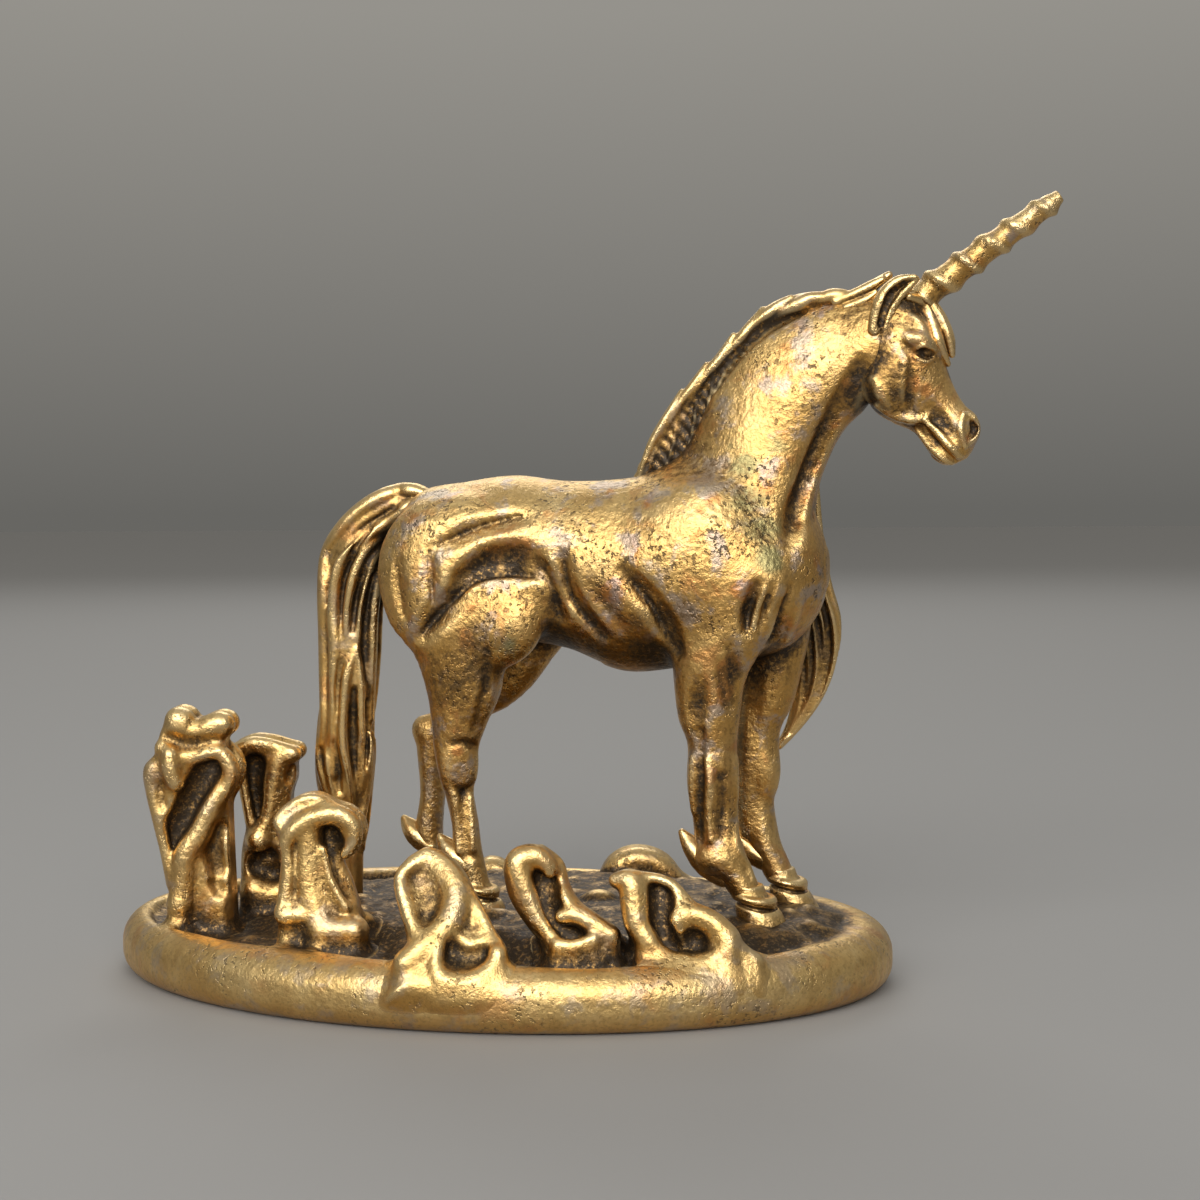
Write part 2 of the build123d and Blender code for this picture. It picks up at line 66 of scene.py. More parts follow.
def sight(pixels):
    """Directions from the lens through photo pixels."""
    p = (np.atleast_2d(np.array(pixels, float)) - PHOTO_HALF) / LENS_FOCAL
    rays = LENS_AHEAD + p[:, :1] * LENS_RIGHT - p[:, 1:] * LENS_UP
    return rays / np.linalg.norm(rays, axis=1)[:, None]


def on_plane(pixels, side=0.0):
    """Points where the lines of sight through pixels meet the plane at a side distance."""
    rays = sight(pixels)
    return LENS_PLACE + rays * ((side - LENS_PLACE[1]) / rays[:, 1])[:, None]


def run_through(rows, count):
    """Smooth run through rows of numbers, as count rows."""
    p = np.array(rows, float)
    last = len(p) - 1
    t = np.linspace(0, last, count)
    i = np.clip(t.astype(int), 0, last - 1)
    f = (t - i)[:, None]
    a, b, c, d = p[np.maximum(i - 1, 0)], p[i], p[i + 1], p[np.minimum(i + 2, last)]
    square, cube = 2 * a - 5 * b + 4 * c - d, 3 * b - a - 3 * c + d
    return 0.5 * (2 * b + (c - a) * f + square * f ** 2 + cube * f ** 3)


def melt(a, b, soft):
    """Smaller of two distances, rounded where they meet."""
    if soft <= 0:
        return np.minimum(a, b)
    h = np.maximum(soft - np.abs(a - b), 0) / soft
    return np.minimum(a, b) - h * h * soft / 4


def oval_distance(u, v, half_u, half_v):
    """Distance to an ellipse, good near its line."""
    q = np.sqrt((u / half_u) ** 2 + (v / half_v) ** 2)
    g = np.sqrt((u / half_u ** 2) ** 2 + (v / half_v ** 2) ** 2)
    return q * (q - 1) / np.maximum(g, 1e-3)


def rounded(a, b, turn):
    """Distance to what lies within both of two distances, with its edge turned to a radius."""
    a, b = a + turn, b + turn
    return np.minimum(np.maximum(a, b), 0) + np.sqrt(np.maximum(a, 0) ** 2 + np.maximum(b, 0) ** 2) - turn


def polygon_distance(u, w, corners):
    """Signed distance to a closed polygon."""
    best = np.full(u.shape, 1e6)
    inside = np.zeros(u.shape, bool)
    for (ax, ay), (bx, by) in zip(corners, np.roll(corners, -1, axis=0)):
        ex, ey = bx - ax, by - ay
        t = np.clip(((u - ax) * ex + (w - ay) * ey) / (ex * ex + ey * ey + 1e-9), 0, 1)
        best = np.minimum(best, (u - ax - t * ex) ** 2 + (w - ay - t * ey) ** 2)
        cross = ((ay > w) != (by > w)) & (u < (bx - ax) * (w - ay) / (by - ay + 1e-12) + ax)
        inside ^= cross
    return np.where(inside, -1, 1) * np.sqrt(best)


class Wax:
    """A lump of wax: distances on a grid, added to and carved like a modeller does."""

    # Distance held where there is no wax, and beyond the reach of a shape.
    EMPTY = 6.0
    BEYOND = 9.0

    # Steps between two sections of a form, and between two points of a rope.
    SECTION_STEPS = 20
    ROPE_STEPS = 6

    # How far a line of sight is followed on the near side, and a line from the far side.
    NEAR_REACH = 22.0
    FAR_REACH = 12.0

    def __init__(self, low, high, voxel):
        self.voxel = voxel
        self.low = np.array(low, float)
        self.size = np.ceil((np.array(high) - self.low) / voxel).astype(int) + 1
        self.field = np.full(self.size, self.EMPTY, np.float32)

    def window(self, low, high):
        """Part of the grid between two corners, with its coordinates."""
        first = np.clip(np.floor((np.array(low) - self.low) / self.voxel).astype(int), 0, self.size - 2)
        last = np.clip(np.ceil((np.array(high) - self.low) / self.voxel).astype(int) + 1, first + 1,
                       self.size)
        cut = tuple(slice(a, b) for a, b in zip(first, last))
        axes = [self.low[k] + self.voxel * np.arange(first[k], last[k]) for k in range(3)]
        return cut, axes

    def lay(self, cut, distance, soft, carve=False):
        """Adds a shape to the lump, or takes it away."""
        if carve:
            self.field[cut] = -melt(-self.field[cut], distance, soft)
        else:
            self.field[cut] = melt(self.field[cut], distance, soft)

    def form(self, stations, soft, egg=0.0):
        """Fleshy form through sections: front x, z, back x, z, side, half width. Egg widens the front."""
        rows = run_through(stations, self.SECTION_STEPS * len(stations))
        front, back, side, wide = rows[:, 0:2], rows[:, 2:4], rows[:, 4], np.maximum(rows[:, 5], 0.05)
        middle = (front + back) / 2
        deep = np.maximum(np.linalg.norm(front - back, axis=1) / 2, 0.05)
        along = (front - back) / (2 * deep)[:, None]
        normal = np.column_stack([-along[:, 1], along[:, 0]])
        normal *= np.sign(np.sum(normal * np.gradient(middle, axis=0), axis=1))[:, None]
        pad = soft + 3 * self.voxel
        ends = np.vstack([front, back])
        low = (ends[:, 0].min() - pad, (side - wide).min() - pad, ends[:, 1].min() - pad)
        high = (ends[:, 0].max() + pad, (side + wide).max() + pad, ends[:, 1].max() + pad)
        cut, (xs, ys, zs) = self.window(low, high)
        gx, gz = np.meshgrid(xs, zs, indexing="ij")
        flat = np.column_stack([gx.ravel(), gz.ravel()])
        off = np.sum(middle * normal, axis=1)
        s = flat @ normal.T - off
        u_all = flat @ along.T - np.sum(middle * along, axis=1)
        near = np.argmin(np.abs(s) + np.maximum(np.abs(u_all) - 1.5 * deep, 0), axis=1)
        pick = np.arange(len(flat))
        u = u_all[pick, near].reshape(gx.shape)[:, None, :]
        rest = s[pick, near].reshape(gx.shape)
        near = near.reshape(gx.shape)
        hu, hv = deep[near][:, None, :], wide[near][:, None, :]
        v = ys[None, :, None] - side[near][:, None, :]
        hv = hv * np.clip(1 + egg * u / hu, 0.35, 1.6)
        d = oval_distance(u, v, hu, hv)
        cap = np.where(near == 0, -rest, np.where(near == len(rows) - 1, rest, -self.BEYOND))[:, None, :]
        self.lay(cut, np.maximum(d, cap).astype(np.float32), soft)

    def rod(self, points, radii, soft, carve=False):
        """Rope through points, with one radius or one at each point."""
        points = np.array(points, float)
        radii = np.broadcast_to(np.array(radii, float), len(points))
        run = np.column_stack([points, radii])
        run = run_through(run, self.ROPE_STEPS * len(points))
        pad = run[:, 3].max() + soft + 2 * self.voxel
        cut, (xs, ys, zs) = self.window(run[:, :3].min(0) - pad, run[:, :3].max(0) + pad)
        best = np.full((len(xs), len(ys), len(zs)), self.BEYOND, np.float32)
        for a, b in zip(run[:-1], run[1:]):
            e = b[:3] - a[:3]
            part = []
            for k, line in enumerate((xs, ys, zs)):
                low, high = np.searchsorted(line, (min(a[k], b[k]) - pad, max(a[k], b[k]) + pad))
                part.append(slice(low, high))
            px = (xs[part[0]] - a[0])[:, None, None]
            py = (ys[part[1]] - a[1])[None, :, None]
            pz = (zs[part[2]] - a[2])[None, None, :]
            t = np.clip((px * e[0] + py * e[1] + pz * e[2]) / (e @ e + 1e-9), 0, 1)
            away = np.sqrt((px - t * e[0]) ** 2 + (py - t * e[1]) ** 2 + (pz - t * e[2]) ** 2)
            d = away - (a[3] + t * (b[3] - a[3]))
            best[tuple(part)] = np.minimum(best[tuple(part)], d)
        self.lay(cut, best, soft, carve)

    def ball(self, middle, halves, soft, lean=0.0):
        """Egg with half sizes, leant about Y in degrees."""
        middle, halves = np.array(middle, float), np.array(halves, float)
        turn = np.array(Matrix.Rotation(math.radians(lean), 3, "Y"))
        pad = halves.max() + soft + 2 * self.voxel
        cut, (xs, ys, zs) = self.window(middle - pad, middle + pad)
        p = [(xs - middle[0])[:, None, None], (ys - middle[1])[None, :, None],
             (zs - middle[2])[None, None, :]]
        q = [sum(turn[k, j] * p[k] for k in range(3)) for j in range(3)]
        k0 = np.sqrt(sum((q[j] / halves[j]) ** 2 for j in range(3)))
        k1 = np.sqrt(sum((q[j] / halves[j] ** 2) ** 2 for j in range(3)))
        self.lay(cut, (k0 * (k0 - 1) / np.maximum(k1, 1e-3)).astype(np.float32), soft)

    def ease(self, rounds):
        """Rounds off sharp edges."""
        for axis in (0, 1, 2) * rounds:
            last = self.size[axis] - 1
            order = np.arange(last + 1)
            ahead = np.take(self.field, np.minimum(order + 1, last), axis)
            behind = np.take(self.field, np.maximum(order - 1, 0), axis)
            self.field = (ahead + 2 * self.field + behind) / 4

    def read(self, points):
        """Distances at points, between grid corners."""
        g = (np.array(points, float) - self.low) / self.voxel
        g = np.clip(g, 0, self.size - 1.001)
        i = g.astype(int)
        f = g - i
        out = 0
        for c in np.ndindex(2, 2, 2):
            w = np.prod(np.where(c, f, 1 - f), axis=-1)
            out = out + w * self.field[i[..., 0] + c[0], i[..., 1] + c[1], i[..., 2] + c[2]]
        return out

    def settle(self, starts, ways, reach):
        """First points of the surface met from starts along ways; misses give the closest pass."""
        starts, ways = np.atleast_2d(starts).astype(float), np.atleast_2d(ways).astype(float)
        steps = np.arange(0, reach, self.voxel / 2)
        d = self.read(starts[:, None, :] + steps[None, :, None] * ways[:, None, :])
        hit = np.where((d < 0).any(axis=1), np.argmax(d < 0, axis=1), np.argmin(d, axis=1))
        return starts + steps[hit][:, None] * ways

    def seen(self, pixels, lift=0.0):
        """Points on the surface under photo pixels, on the side that the camera sees."""
        rays = sight(pixels)
        gap = (self.low[1] - LENS_PLACE[1]) / rays[:, 1]
        return self.settle(LENS_PLACE + gap[:, None] * rays, rays, self.NEAR_REACH) - lift * rays

    def mirrored(self, points):
        """The same places on the far side of the figure, set on its surface."""
        starts = np.array(points, float)
        starts[:, 1] = self.low[1] + self.voxel * (self.size[1] - 1)
        return self.settle(starts, np.tile([0.0, -1.0, 0.0], (len(starts), 1)), self.FAR_REACH)

    def spots(self, rows):
        """Spots of the finish on both sides, as place, radius, amount, from rows of pixel, radius, amount."""
        found = []
        for pixel, radius, amount in rows:
            near = self.seen([pixel])
            found += [(near[0], radius, amount), (self.mirrored(near)[0], radius, amount)]
        return found

    def skin(self):
        """Corners and four-sided faces of the surface, closed where the lump meets the edge of the grid."""
        f = self.field
        for axis in range(3):
            for at in (0, -1):
                edge = [slice(None)] * 3
                edge[axis] = at
                f[tuple(edge)] = np.maximum(f[tuple(edge)], 0.5 * self.voxel)
        solid = f < 0
        some = np.zeros(self.size - 1, bool)
        every = np.ones(self.size - 1, bool)
        n = self.size - 1
        for c in np.ndindex(2, 2, 2):
            part = solid[c[0]:c[0] + n[0], c[1]:c[1] + n[1], c[2]:c[2] + n[2]]
            some |= part
            every &= part
        cells = np.argwhere(some & ~every)
        label = np.full(n, -1, np.int32)
        label[tuple(cells.T)] = np.arange(len(cells))
        total, weight = np.zeros((len(cells), 3)), np.zeros(len(cells))
        for axis in range(3):
            for c in np.ndindex(2, 2):
                a = np.insert(c, axis, 0)
                b = np.insert(c, axis, 1)
                fa, fb = f[tuple((cells + a).T)], f[tuple((cells + b).T)]
                cross = (fa < 0) != (fb < 0)
                t = np.where(cross, fa / np.where(cross, fa - fb, 1), 0)
                total += np.where(cross[:, None], a + (b - a) * t[:, None], 0)
                weight += cross
        corners = self.low + self.voxel * (cells + total / weight[:, None])
        faces = []
        for axis in range(3):
            lo = [slice(1, n[k]) for k in range(3)]
            lo[axis] = slice(0, n[axis])
            hi = list(lo)
            hi[axis] = slice(1, n[axis] + 1)
            here, there = solid[tuple(lo)], solid[tuple(hi)]
            first = np.array([0 if k == axis else 1 for k in range(3)])
            p, q = (axis + 1) % 3, (axis + 2) % 3
            for mask, flip in ((here & ~there, False), (~here & there, True)):
                at = np.argwhere(mask) + first
                ring = []
                for dp, dq in ((0, 0), (1, 0), (1, 1), (0, 1)):
                    c = at.copy()
                    c[:, p] -= 1 - dp
                    c[:, q] -= 1 - dq
                    ring.append(label[tuple(c.T)])
                ring = np.column_stack(ring[::-1] if flip else ring)
                faces.append(ring)
        return corners, np.vstack(faces)


def neighbour_mean(values, edges, count):
    """Mean of each corner's neighbours."""
    a, b = edges
    share = np.bincount(a, minlength=count) + np.bincount(b, minlength=count)
    out = np.empty_like(values)
    for k in range(values.shape[1]):
        out[:, k] = np.bincount(a, values[b, k], count) + np.bincount(b, values[a, k], count)
    return out / np.maximum(share, 1)[:, None]


# How wide a hollow each mark looks for, and the fewest and most rounds of easing that find it.
HOLLOW_REACH = {"hollow_fine": 0.35, "hollow_broad": 1.1}
EASING_ROUNDS = (2, 110)


def mark_hollows(mesh):
    """Stores how far each corner lies in a hollow, fine and broad, for the patina."""
    count = len(mesh.vertices)
    place = np.empty(count * 3)
    mesh.vertices.foreach_get("co", place)
    place = place.reshape(-1, 3) / MM
    normal = np.empty(count * 3)
    mesh.vertices.foreach_get("normal", normal)
    normal = normal.reshape(-1, 3)
    pairs = np.empty(len(mesh.edges) * 2, int)
    mesh.edges.foreach_get("vertices", pairs)
    pairs = pairs.reshape(-1, 2).T
    spacing = np.linalg.norm(place[pairs[0]] - place[pairs[1]], axis=1).mean()
    for name, reach in HOLLOW_REACH.items():
        rounds = int(np.clip(2 * (reach / spacing) ** 2, *EASING_ROUNDS))
        eased = place
        for _ in range(rounds):
            eased = neighbour_mean(eased, pairs, count)
        depth = np.sum((eased - place) * normal, axis=1) / reach
        depth = neighbour_mean(depth[:, None], pairs, count)[:, 0]
        mesh.attributes.new(name, "FLOAT", "POINT").data.foreach_set("value", depth.astype(np.float32))


# Places where the finish differs, by piece: spots of soot and painted shade, coppery spots, and spots of a
# painted olive reflection.
SOOT_AND_SHADE = {}
BLUSH = {}
OLIVE = {}

# Finished pieces with their meshes, and the spots of soot and painted shade of the body.
CASTINGS = []
BODY_SPOTS = []

# Pieces painted paler than the figure, a painted highlight.
PALER = {"base_plate": 0.5}


def cast(name, mesh, material, nodes):
    """Makes a mesh a finished piece that stands for CAD nodes."""
    mesh.name = name
    mesh.materials.clear()
    mesh.materials.append(material)
    mesh.shade_smooth()
    mark_hollows(mesh)
    piece = bpy.data.objects.new(name + "_cast", mesh)
    bpy.context.collection.objects.link(piece)
    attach(piece, "root")
    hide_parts(*nodes)
    CASTINGS.append((name, mesh))
    return piece


def spotted(place, spots):
    """Strongest spot at each place, fading to the spot's edge."""
    most = np.zeros(len(place))
    for middle, radius, amount in spots:
        near = np.clip(1 - np.linalg.norm(place - middle, axis=1) / radius, 0, 1)
        most = np.maximum(most, amount * near * near * (3 - 2 * near))
    return most


# Shelter is the share of metal round a point: cells are filled under the surface at these depths, blurred
# over a number of cells in a few passes, and read a little off the surface. A point has none at the open
# share, and all of it a span higher.
# The shelter darkens the colour: patina in the hollows, with painted shade where metal crowds round, as under
# the belly and between the legs.
SHELTER_CELL = 0.4
SHELTER_DEPTHS = (0.15, 0.45, 0.75, 1.05)
SHELTER_MARGIN = 6
SHELTER_BLUR = 3
SHELTER_PASSES = 3
SHELTER_LOOK = 1.0
OPEN_SHARE = 0.20
SHELTER_SPAN = 0.28

# Painted shade on faces that look down. Pale gold of upright faces, a pale dust with painted light, and how
# it changes on those that look up, as painted top light, and on sheltered ones, as painted shade.
DOWNWARD_SHADE = 0.35
PALE_SHARE = 0.45
PALE_UPWARD = 0.9
PALE_SHELTERED = 0.4


def age_castings():
    """Stores how sheltered every corner is, with its soot and painted shade, and where it is coppery, where
    it has a painted olive reflection, and where it is pale with dust and painted top light.
    """
    places, normals = {}, {}
    for name, mesh in CASTINGS:
        for key, store in (("co", places), ("normal", normals)):
            flat = np.empty(len(mesh.vertices) * 3)
            mesh.vertices.foreach_get(key, flat)
            store[name] = flat.reshape(-1, 3) / (MM if key == "co" else 1.0)
    low = np.min([p.min(0) for p in places.values()], axis=0) - SHELTER_MARGIN
    high = np.max([p.max(0) for p in places.values()], axis=0) + SHELTER_MARGIN
    filled = np.zeros(np.ceil((high - low) / SHELTER_CELL).astype(int), np.float32)
    for name in places:
        for depth in SHELTER_DEPTHS:
            at = ((places[name] - depth * normals[name] - low) / SHELTER_CELL).astype(int)
            filled[tuple(at.T)] = 1.0
    for axis in (0, 1, 2) * SHELTER_PASSES:
        total = np.cumsum(filled, axis=axis)
        ahead = np.roll(total, -SHELTER_BLUR, axis=axis)
        behind = np.roll(total, SHELTER_BLUR + 1, axis=axis)
        filled = (ahead - behind) / (2 * SHELTER_BLUR + 1)
        for end in (slice(0, SHELTER_BLUR + 1), slice(-SHELTER_BLUR - 1, None)):
            edge = [slice(None)] * 3
            edge[axis] = end
            filled[tuple(edge)] = 0
    for name, mesh in CASTINGS:
        at = ((places[name] + SHELTER_LOOK * normals[name] - low) / SHELTER_CELL).astype(int)
        at = np.clip(at, 0, np.array(filled.shape) - 1)
        # Shelter, painted as patina in the hollows and as painted shade where metal crowds round.
        shelter = np.clip((filled[tuple(at.T)] - OPEN_SHARE) / SHELTER_SPAN, -0.5, 1.5)
        facing = normals[name][:, 2]
        # Faces that look down get painted shade.
        shelter = shelter + DOWNWARD_SHADE * np.maximum(-facing, 0)
        # Soot and painted shade, from spots and from a rule of the piece, such as the painted shade of the
        # legs and the painted light under the base's rim.
        darkening = SOOT_AND_SHADE.get(name, [])
        shelter = shelter + (darkening(places[name]) if callable(darkening) else spotted(places[name], darkening))
        blush = spotted(places[name], BLUSH.get(name, []))
        # Spots of painted olive reflection.
        olive = spotted(places[name], OLIVE.get(name, []))
        # Pale gold: dust with painted top light on faces that look up, a painted highlight on the base, and
        # less of it where painted shade lies.
        pale = PALE_SHARE + PALER.get(name, 0) + PALE_UPWARD * facing
        dusted = np.clip(pale - PALE_SHELTERED * np.maximum(shelter, 0), 0, 1)
        for label, values in (("sheltered", shelter), ("blush", blush), ("olive", olive), ("dusted", dusted)):
            mesh.attributes.new(label, "FLOAT", "POINT").data.foreach_set("value", values.astype(np.float32))


def without_crumbs(corners, faces):
    """The largest connected part of a skin."""
    label = np.arange(len(corners))
    while True:
        lowest = label[faces].min(axis=1)
        fresh = label.copy()
        for k in range(faces.shape[1]):
            np.minimum.at(fresh, faces[:, k], lowest)
            np.minimum.at(fresh, label[faces[:, k]], lowest)
        fresh = fresh[fresh]
        if (fresh == label).all():
            break
        label = fresh
    kept = label == np.bincount(label).argmax()
    number = np.cumsum(kept) - 1
    return corners[kept], number[faces[kept[faces[:, 0]]]]


def pour(name, wax, material, nodes):
    """Turns a lump of wax into a finished piece."""
    corners, faces = without_crumbs(*wax.skin())
    mesh = bpy.data.meshes.new(name)
    mesh.vertices.add(len(corners))
    mesh.vertices.foreach_set("co", (corners * MM).ravel())
    mesh.loops.add(faces.size)
    mesh.loops.foreach_set("vertex_index", faces.ravel())
    mesh.polygons.add(len(faces))
    mesh.polygons.foreach_set("loop_start", np.arange(0, faces.size, 4))
    mesh.update(calc_edges=True)
    mesh.validate()
    return cast(name, mesh, material, nodes)


# Finishes.

def wire(tree, kind, inputs=None, **settings):
    """New node with settings; inputs are values or the outputs that feed them."""
    node = tree.nodes.new(kind)
    for key, value in settings.items():
        setattr(node, key, value)
    for key, value in (inputs or {}).items():
        if isinstance(value, bpy.types.NodeSocket):
            tree.links.new(value, node.inputs[key])
        else:
            node.inputs[key].default_value = value
    return node


def ramp(tree, factor, stops):
    """Colour ramp through (place, colour) stops."""
    node = wire(tree, "ShaderNodeValToRGB", {"Fac": factor})
    band = node.color_ramp.elements
    while len(band) < len(stops):
        band.new(0.5)
    for item, (place, colour) in zip(band, stops):
        item.position = place
        item.color = (*colour, 1) if not isinstance(colour, float) else (colour, colour, colour, 1)
    return node.outputs["Color"]


# Colours of the finish; the golds run through stops of a ramp.
DEEP_GOLD = [(0.3, (0.50, 0.25, 0.055)), (0.5, (0.64, 0.35, 0.09)), (0.7, (0.76, 0.46, 0.14))]
PALE_GOLD = [(0.3, (0.66, 0.42, 0.15)), (0.5, (0.78, 0.54, 0.22)), (0.7, (0.86, 0.64, 0.31))]
FRECKLE = (0.42, 0.25, 0.09)
SPECKLE = (0.34, 0.20, 0.07)
COPPER = (0.60, 0.24, 0.07)
GREY_TARNISH = (0.40, 0.36, 0.35)
# Olive serves both random tarnish and a painted reflection.
OLIVE_TARNISH_AND_REFLECTION = (0.27, 0.26, 0.12)
# Brown and black serve both the soot of the hollows and painted shade.
BROWN_SOOT_AND_SHADE = (0.22, 0.125, 0.045)
BLACK_SOOT_AND_SHADE = (0.026, 0.018, 0.011)
WORN_GOLD = (0.88, 0.66, 0.33)

# Height of the casting grain, in metres.
GRAIN_HEIGHT = 0.12 * MM


def antique_group():
    """Antiqued brass: worn gold, copper and grey tarnish, black in the hollows, and casting grain, with
    painted shade in sheltered places, pale painted top light and a painted olive reflection.
    """
    group = bpy.data.node_groups.new("antique_brass", "ShaderNodeTree")
    face = group.interface
    for name, value in (("Hollow Fine", 0.0), ("Hollow Broad", 0.0), ("Sheltered", 0.0), ("Blush", 0.0),
                        ("Olive", 0.0), ("Dusted", 0.5), ("Blackening", 1.0), ("Tarnish", 1.0),
                        ("Grain", 1.0)):
        face.new_socket(name, in_out="INPUT", socket_type="NodeSocketFloat").default_value = value
    face.new_socket("Color", in_out="OUTPUT", socket_type="NodeSocketColor")
    for name in ("Roughness", "Metallic", "Height"):
        face.new_socket(name, in_out="OUTPUT", socket_type="NodeSocketFloat")
    source = wire(group, "NodeGroupInput").outputs
    where = wire(group, "ShaderNodeTexCoord").outputs["Object"]

    def cloud(scale, detail=3.0, rough=0.55, warp=0.0):
        return wire(group, "ShaderNodeTexNoise", {"Vector": where, "Scale": scale, "Detail": detail,
                                                  "Roughness": rough, "Distortion": warp}).outputs["Fac"]

    def calc(kind, a, b, clamp=False):
        return wire(group, "ShaderNodeMath", {0: a, 1: b}, operation=kind, use_clamp=clamp).outputs[0]

    def mix(factor, a, b):
        node = wire(group, "ShaderNodeMix", {"Factor": factor}, data_type="RGBA")
        for slot, value in ((6, a), (7, b)):
            if isinstance(value, bpy.types.NodeSocket):
                group.links.new(value, node.inputs[slot])
            else:
                node.inputs[slot].default_value = (*value, 1)
        return node.outputs[2]

    def step(value, low, high):
        node = wire(group, "ShaderNodeMapRange", {"Value": value, "From Min": low, "From Max": high},
                    interpolation_type="SMOOTHSTEP")
        return node.outputs["Result"]

    # Gold, deep or pale, under freckles, copper, grey and olive tarnish; the olive also paints a reflection
    # on the neck.
    deep = ramp(group, cloud(160, 4), DEEP_GOLD)
    pale = ramp(group, cloud(240, 4), PALE_GOLD)
    # Pale gold where dust and painted top light lie, deep gold elsewhere.
    gold = mix(source["Dusted"], deep, pale)
    freckle = step(cloud(1000, 4, 0.65), 0.50, 0.66)
    speckle = calc("MULTIPLY", step(cloud(4200, 2, 0.6), 0.50, 0.66), source["Grain"])
    copper = step(calc("ADD", cloud(330, 3, 0.6, 0.4), calc("MULTIPLY", source["Blush"], 0.42)), 0.54, 0.72)
    grey = step(cloud(420, 4, 0.65, 0.3), 0.51, 0.64)
    tinted = mix(calc("MULTIPLY", freckle, 0.35), gold, FRECKLE)
    tinted = mix(calc("MULTIPLY", speckle, 0.35), tinted, SPECKLE)
    tinted = mix(calc("MULTIPLY", calc("MULTIPLY", copper, 0.75), source["Tarnish"]), tinted, COPPER)
    tinted = mix(calc("MULTIPLY", calc("MULTIPLY", grey, 0.6), source["Tarnish"]), tinted, GREY_TARNISH)
    # Olive tarnish at random, and a painted olive reflection where the Olive input rises.
    olive = step(calc("ADD", cloud(520, 4, 0.6), calc("MULTIPLY", source["Olive"], 0.5)), 0.62, 0.92)
    tinted = mix(calc("MULTIPLY", olive, 0.8), tinted, OLIVE_TARNISH_AND_REFLECTION)

    # Soot and painted shade: black pits in patches, and brown to black where the surface is hollow, as
    # patina, and where it is sheltered, as painted shade with soot.
    pits = step(cloud(2900, 2, 0.7), 0.55, 0.66)
    patch = step(cloud(300, 3), 0.44, 0.62)
    pits = calc("MULTIPLY", calc("MULTIPLY", pits, patch), source["Grain"])
    sunk = calc("ADD", calc("MULTIPLY", source["Hollow Fine"], 1.3),
                calc("MULTIPLY", source["Hollow Broad"], 0.8))
    sunk = calc("ADD", sunk, source["Sheltered"])
    sunk = calc("MULTIPLY", sunk, source["Blackening"])
    flecks = calc("MULTIPLY", calc("SUBTRACT", cloud(2600, 5, 0.8), 0.5), 2.0)
    flecks = calc("ADD", flecks, calc("MULTIPLY", calc("SUBTRACT", cloud(600, 3, 0.6), 0.5), 0.5))
    sunk = calc("ADD", sunk, flecks)
    brown = step(sunk, 0.05, 0.60)
    black = step(sunk, 0.36, 1.00)
    black = calc("MULTIPLY", black, step(cloud(3600, 3, 0.7), 0.30, 0.50))
    dark = calc("MAXIMUM", black, calc("MULTIPLY", pits, 0.8), True)
    shade = mix(calc("MULTIPLY", brown, 0.8), tinted, BROWN_SOOT_AND_SHADE)
    shade = mix(calc("MULTIPLY", dark, 0.95), shade, BLACK_SOOT_AND_SHADE)
    worn = step(calc("MULTIPLY", source["Hollow Fine"], -1.0), 0.08, 0.34)
    shade = mix(calc("MULTIPLY", worn, 0.55), shade, WORN_GOLD)

    # Roughness, metal and grain.
    rough = calc("ADD", calc("MULTIPLY", cloud(700, 3), 0.22), 0.18)
    rough = calc("ADD", rough, calc("MULTIPLY", dark, 0.12))
    rough = calc("ADD", rough, calc("MULTIPLY", source["Dusted"], 0.10))
    rough = calc("SUBTRACT", rough, calc("MULTIPLY", worn, 0.08))
    metal = calc("SUBTRACT", 1.0, calc("MULTIPLY", dark, 0.35))
    height = calc("ADD", calc("MULTIPLY", cloud(2300, 4, 0.6), 1.0), calc("MULTIPLY", cloud(380, 3), 0.7))
    height = calc("SUBTRACT", calc("MULTIPLY", height, source["Grain"]), calc("MULTIPLY", pits, 0.5))
    wire(group, "NodeGroupOutput", {"Color": shade, "Roughness": rough, "Metallic": metal, "Height": height})
    return group


ANTIQUE = antique_group()


def brass(name, blackening, tarnish, grain, bump):
    """Brass finish with its own share of blackening, tarnish and grain."""
    material = bpy.data.materials.new(name)
    material.use_nodes = True
    tree = material.node_tree
    shader = tree.nodes["Principled BSDF"]
    look = wire(tree, "ShaderNodeGroup", node_tree=ANTIQUE)
    for label in ("hollow_fine", "hollow_broad", "sheltered", "blush", "olive", "dusted"):
        carried = wire(tree, "ShaderNodeAttribute", attribute_name=label).outputs["Fac"]
        tree.links.new(carried, look.inputs[label.replace("_", " ").title()])
    look.inputs["Blackening"].default_value = blackening
    look.inputs["Tarnish"].default_value = tarnish
    look.inputs["Grain"].default_value = grain
    for key, target in (("Color", "Base Color"), ("Roughness", "Roughness"), ("Metallic", "Metallic")):
        tree.links.new(look.outputs[key], shader.inputs[target])
    relief = wire(tree, "ShaderNodeBump", {"Height": look.outputs["Height"], "Strength": bump,
                                           "Distance": GRAIN_HEIGHT})
    tree.links.new(relief.outputs["Normal"], shader.inputs["Normal"])
    return material


FIGURE_BRASS = brass("figure_brass", blackening=1.0, tarnish=1.0, grain=1.0, bump=0.8)
HAIR_BRASS = brass("hair_brass", blackening=0.85, tarnish=0.6, grain=0.7, bump=0.5)
RIM_BRASS = brass("base_brass", blackening=0.8, tarnish=0.6, grain=0.9, bump=0.7)


# Turns a place over to the other side of the figure.
FLIP = np.array([1, -1, 1])


# Body: barrel, neck and legs as one casting.

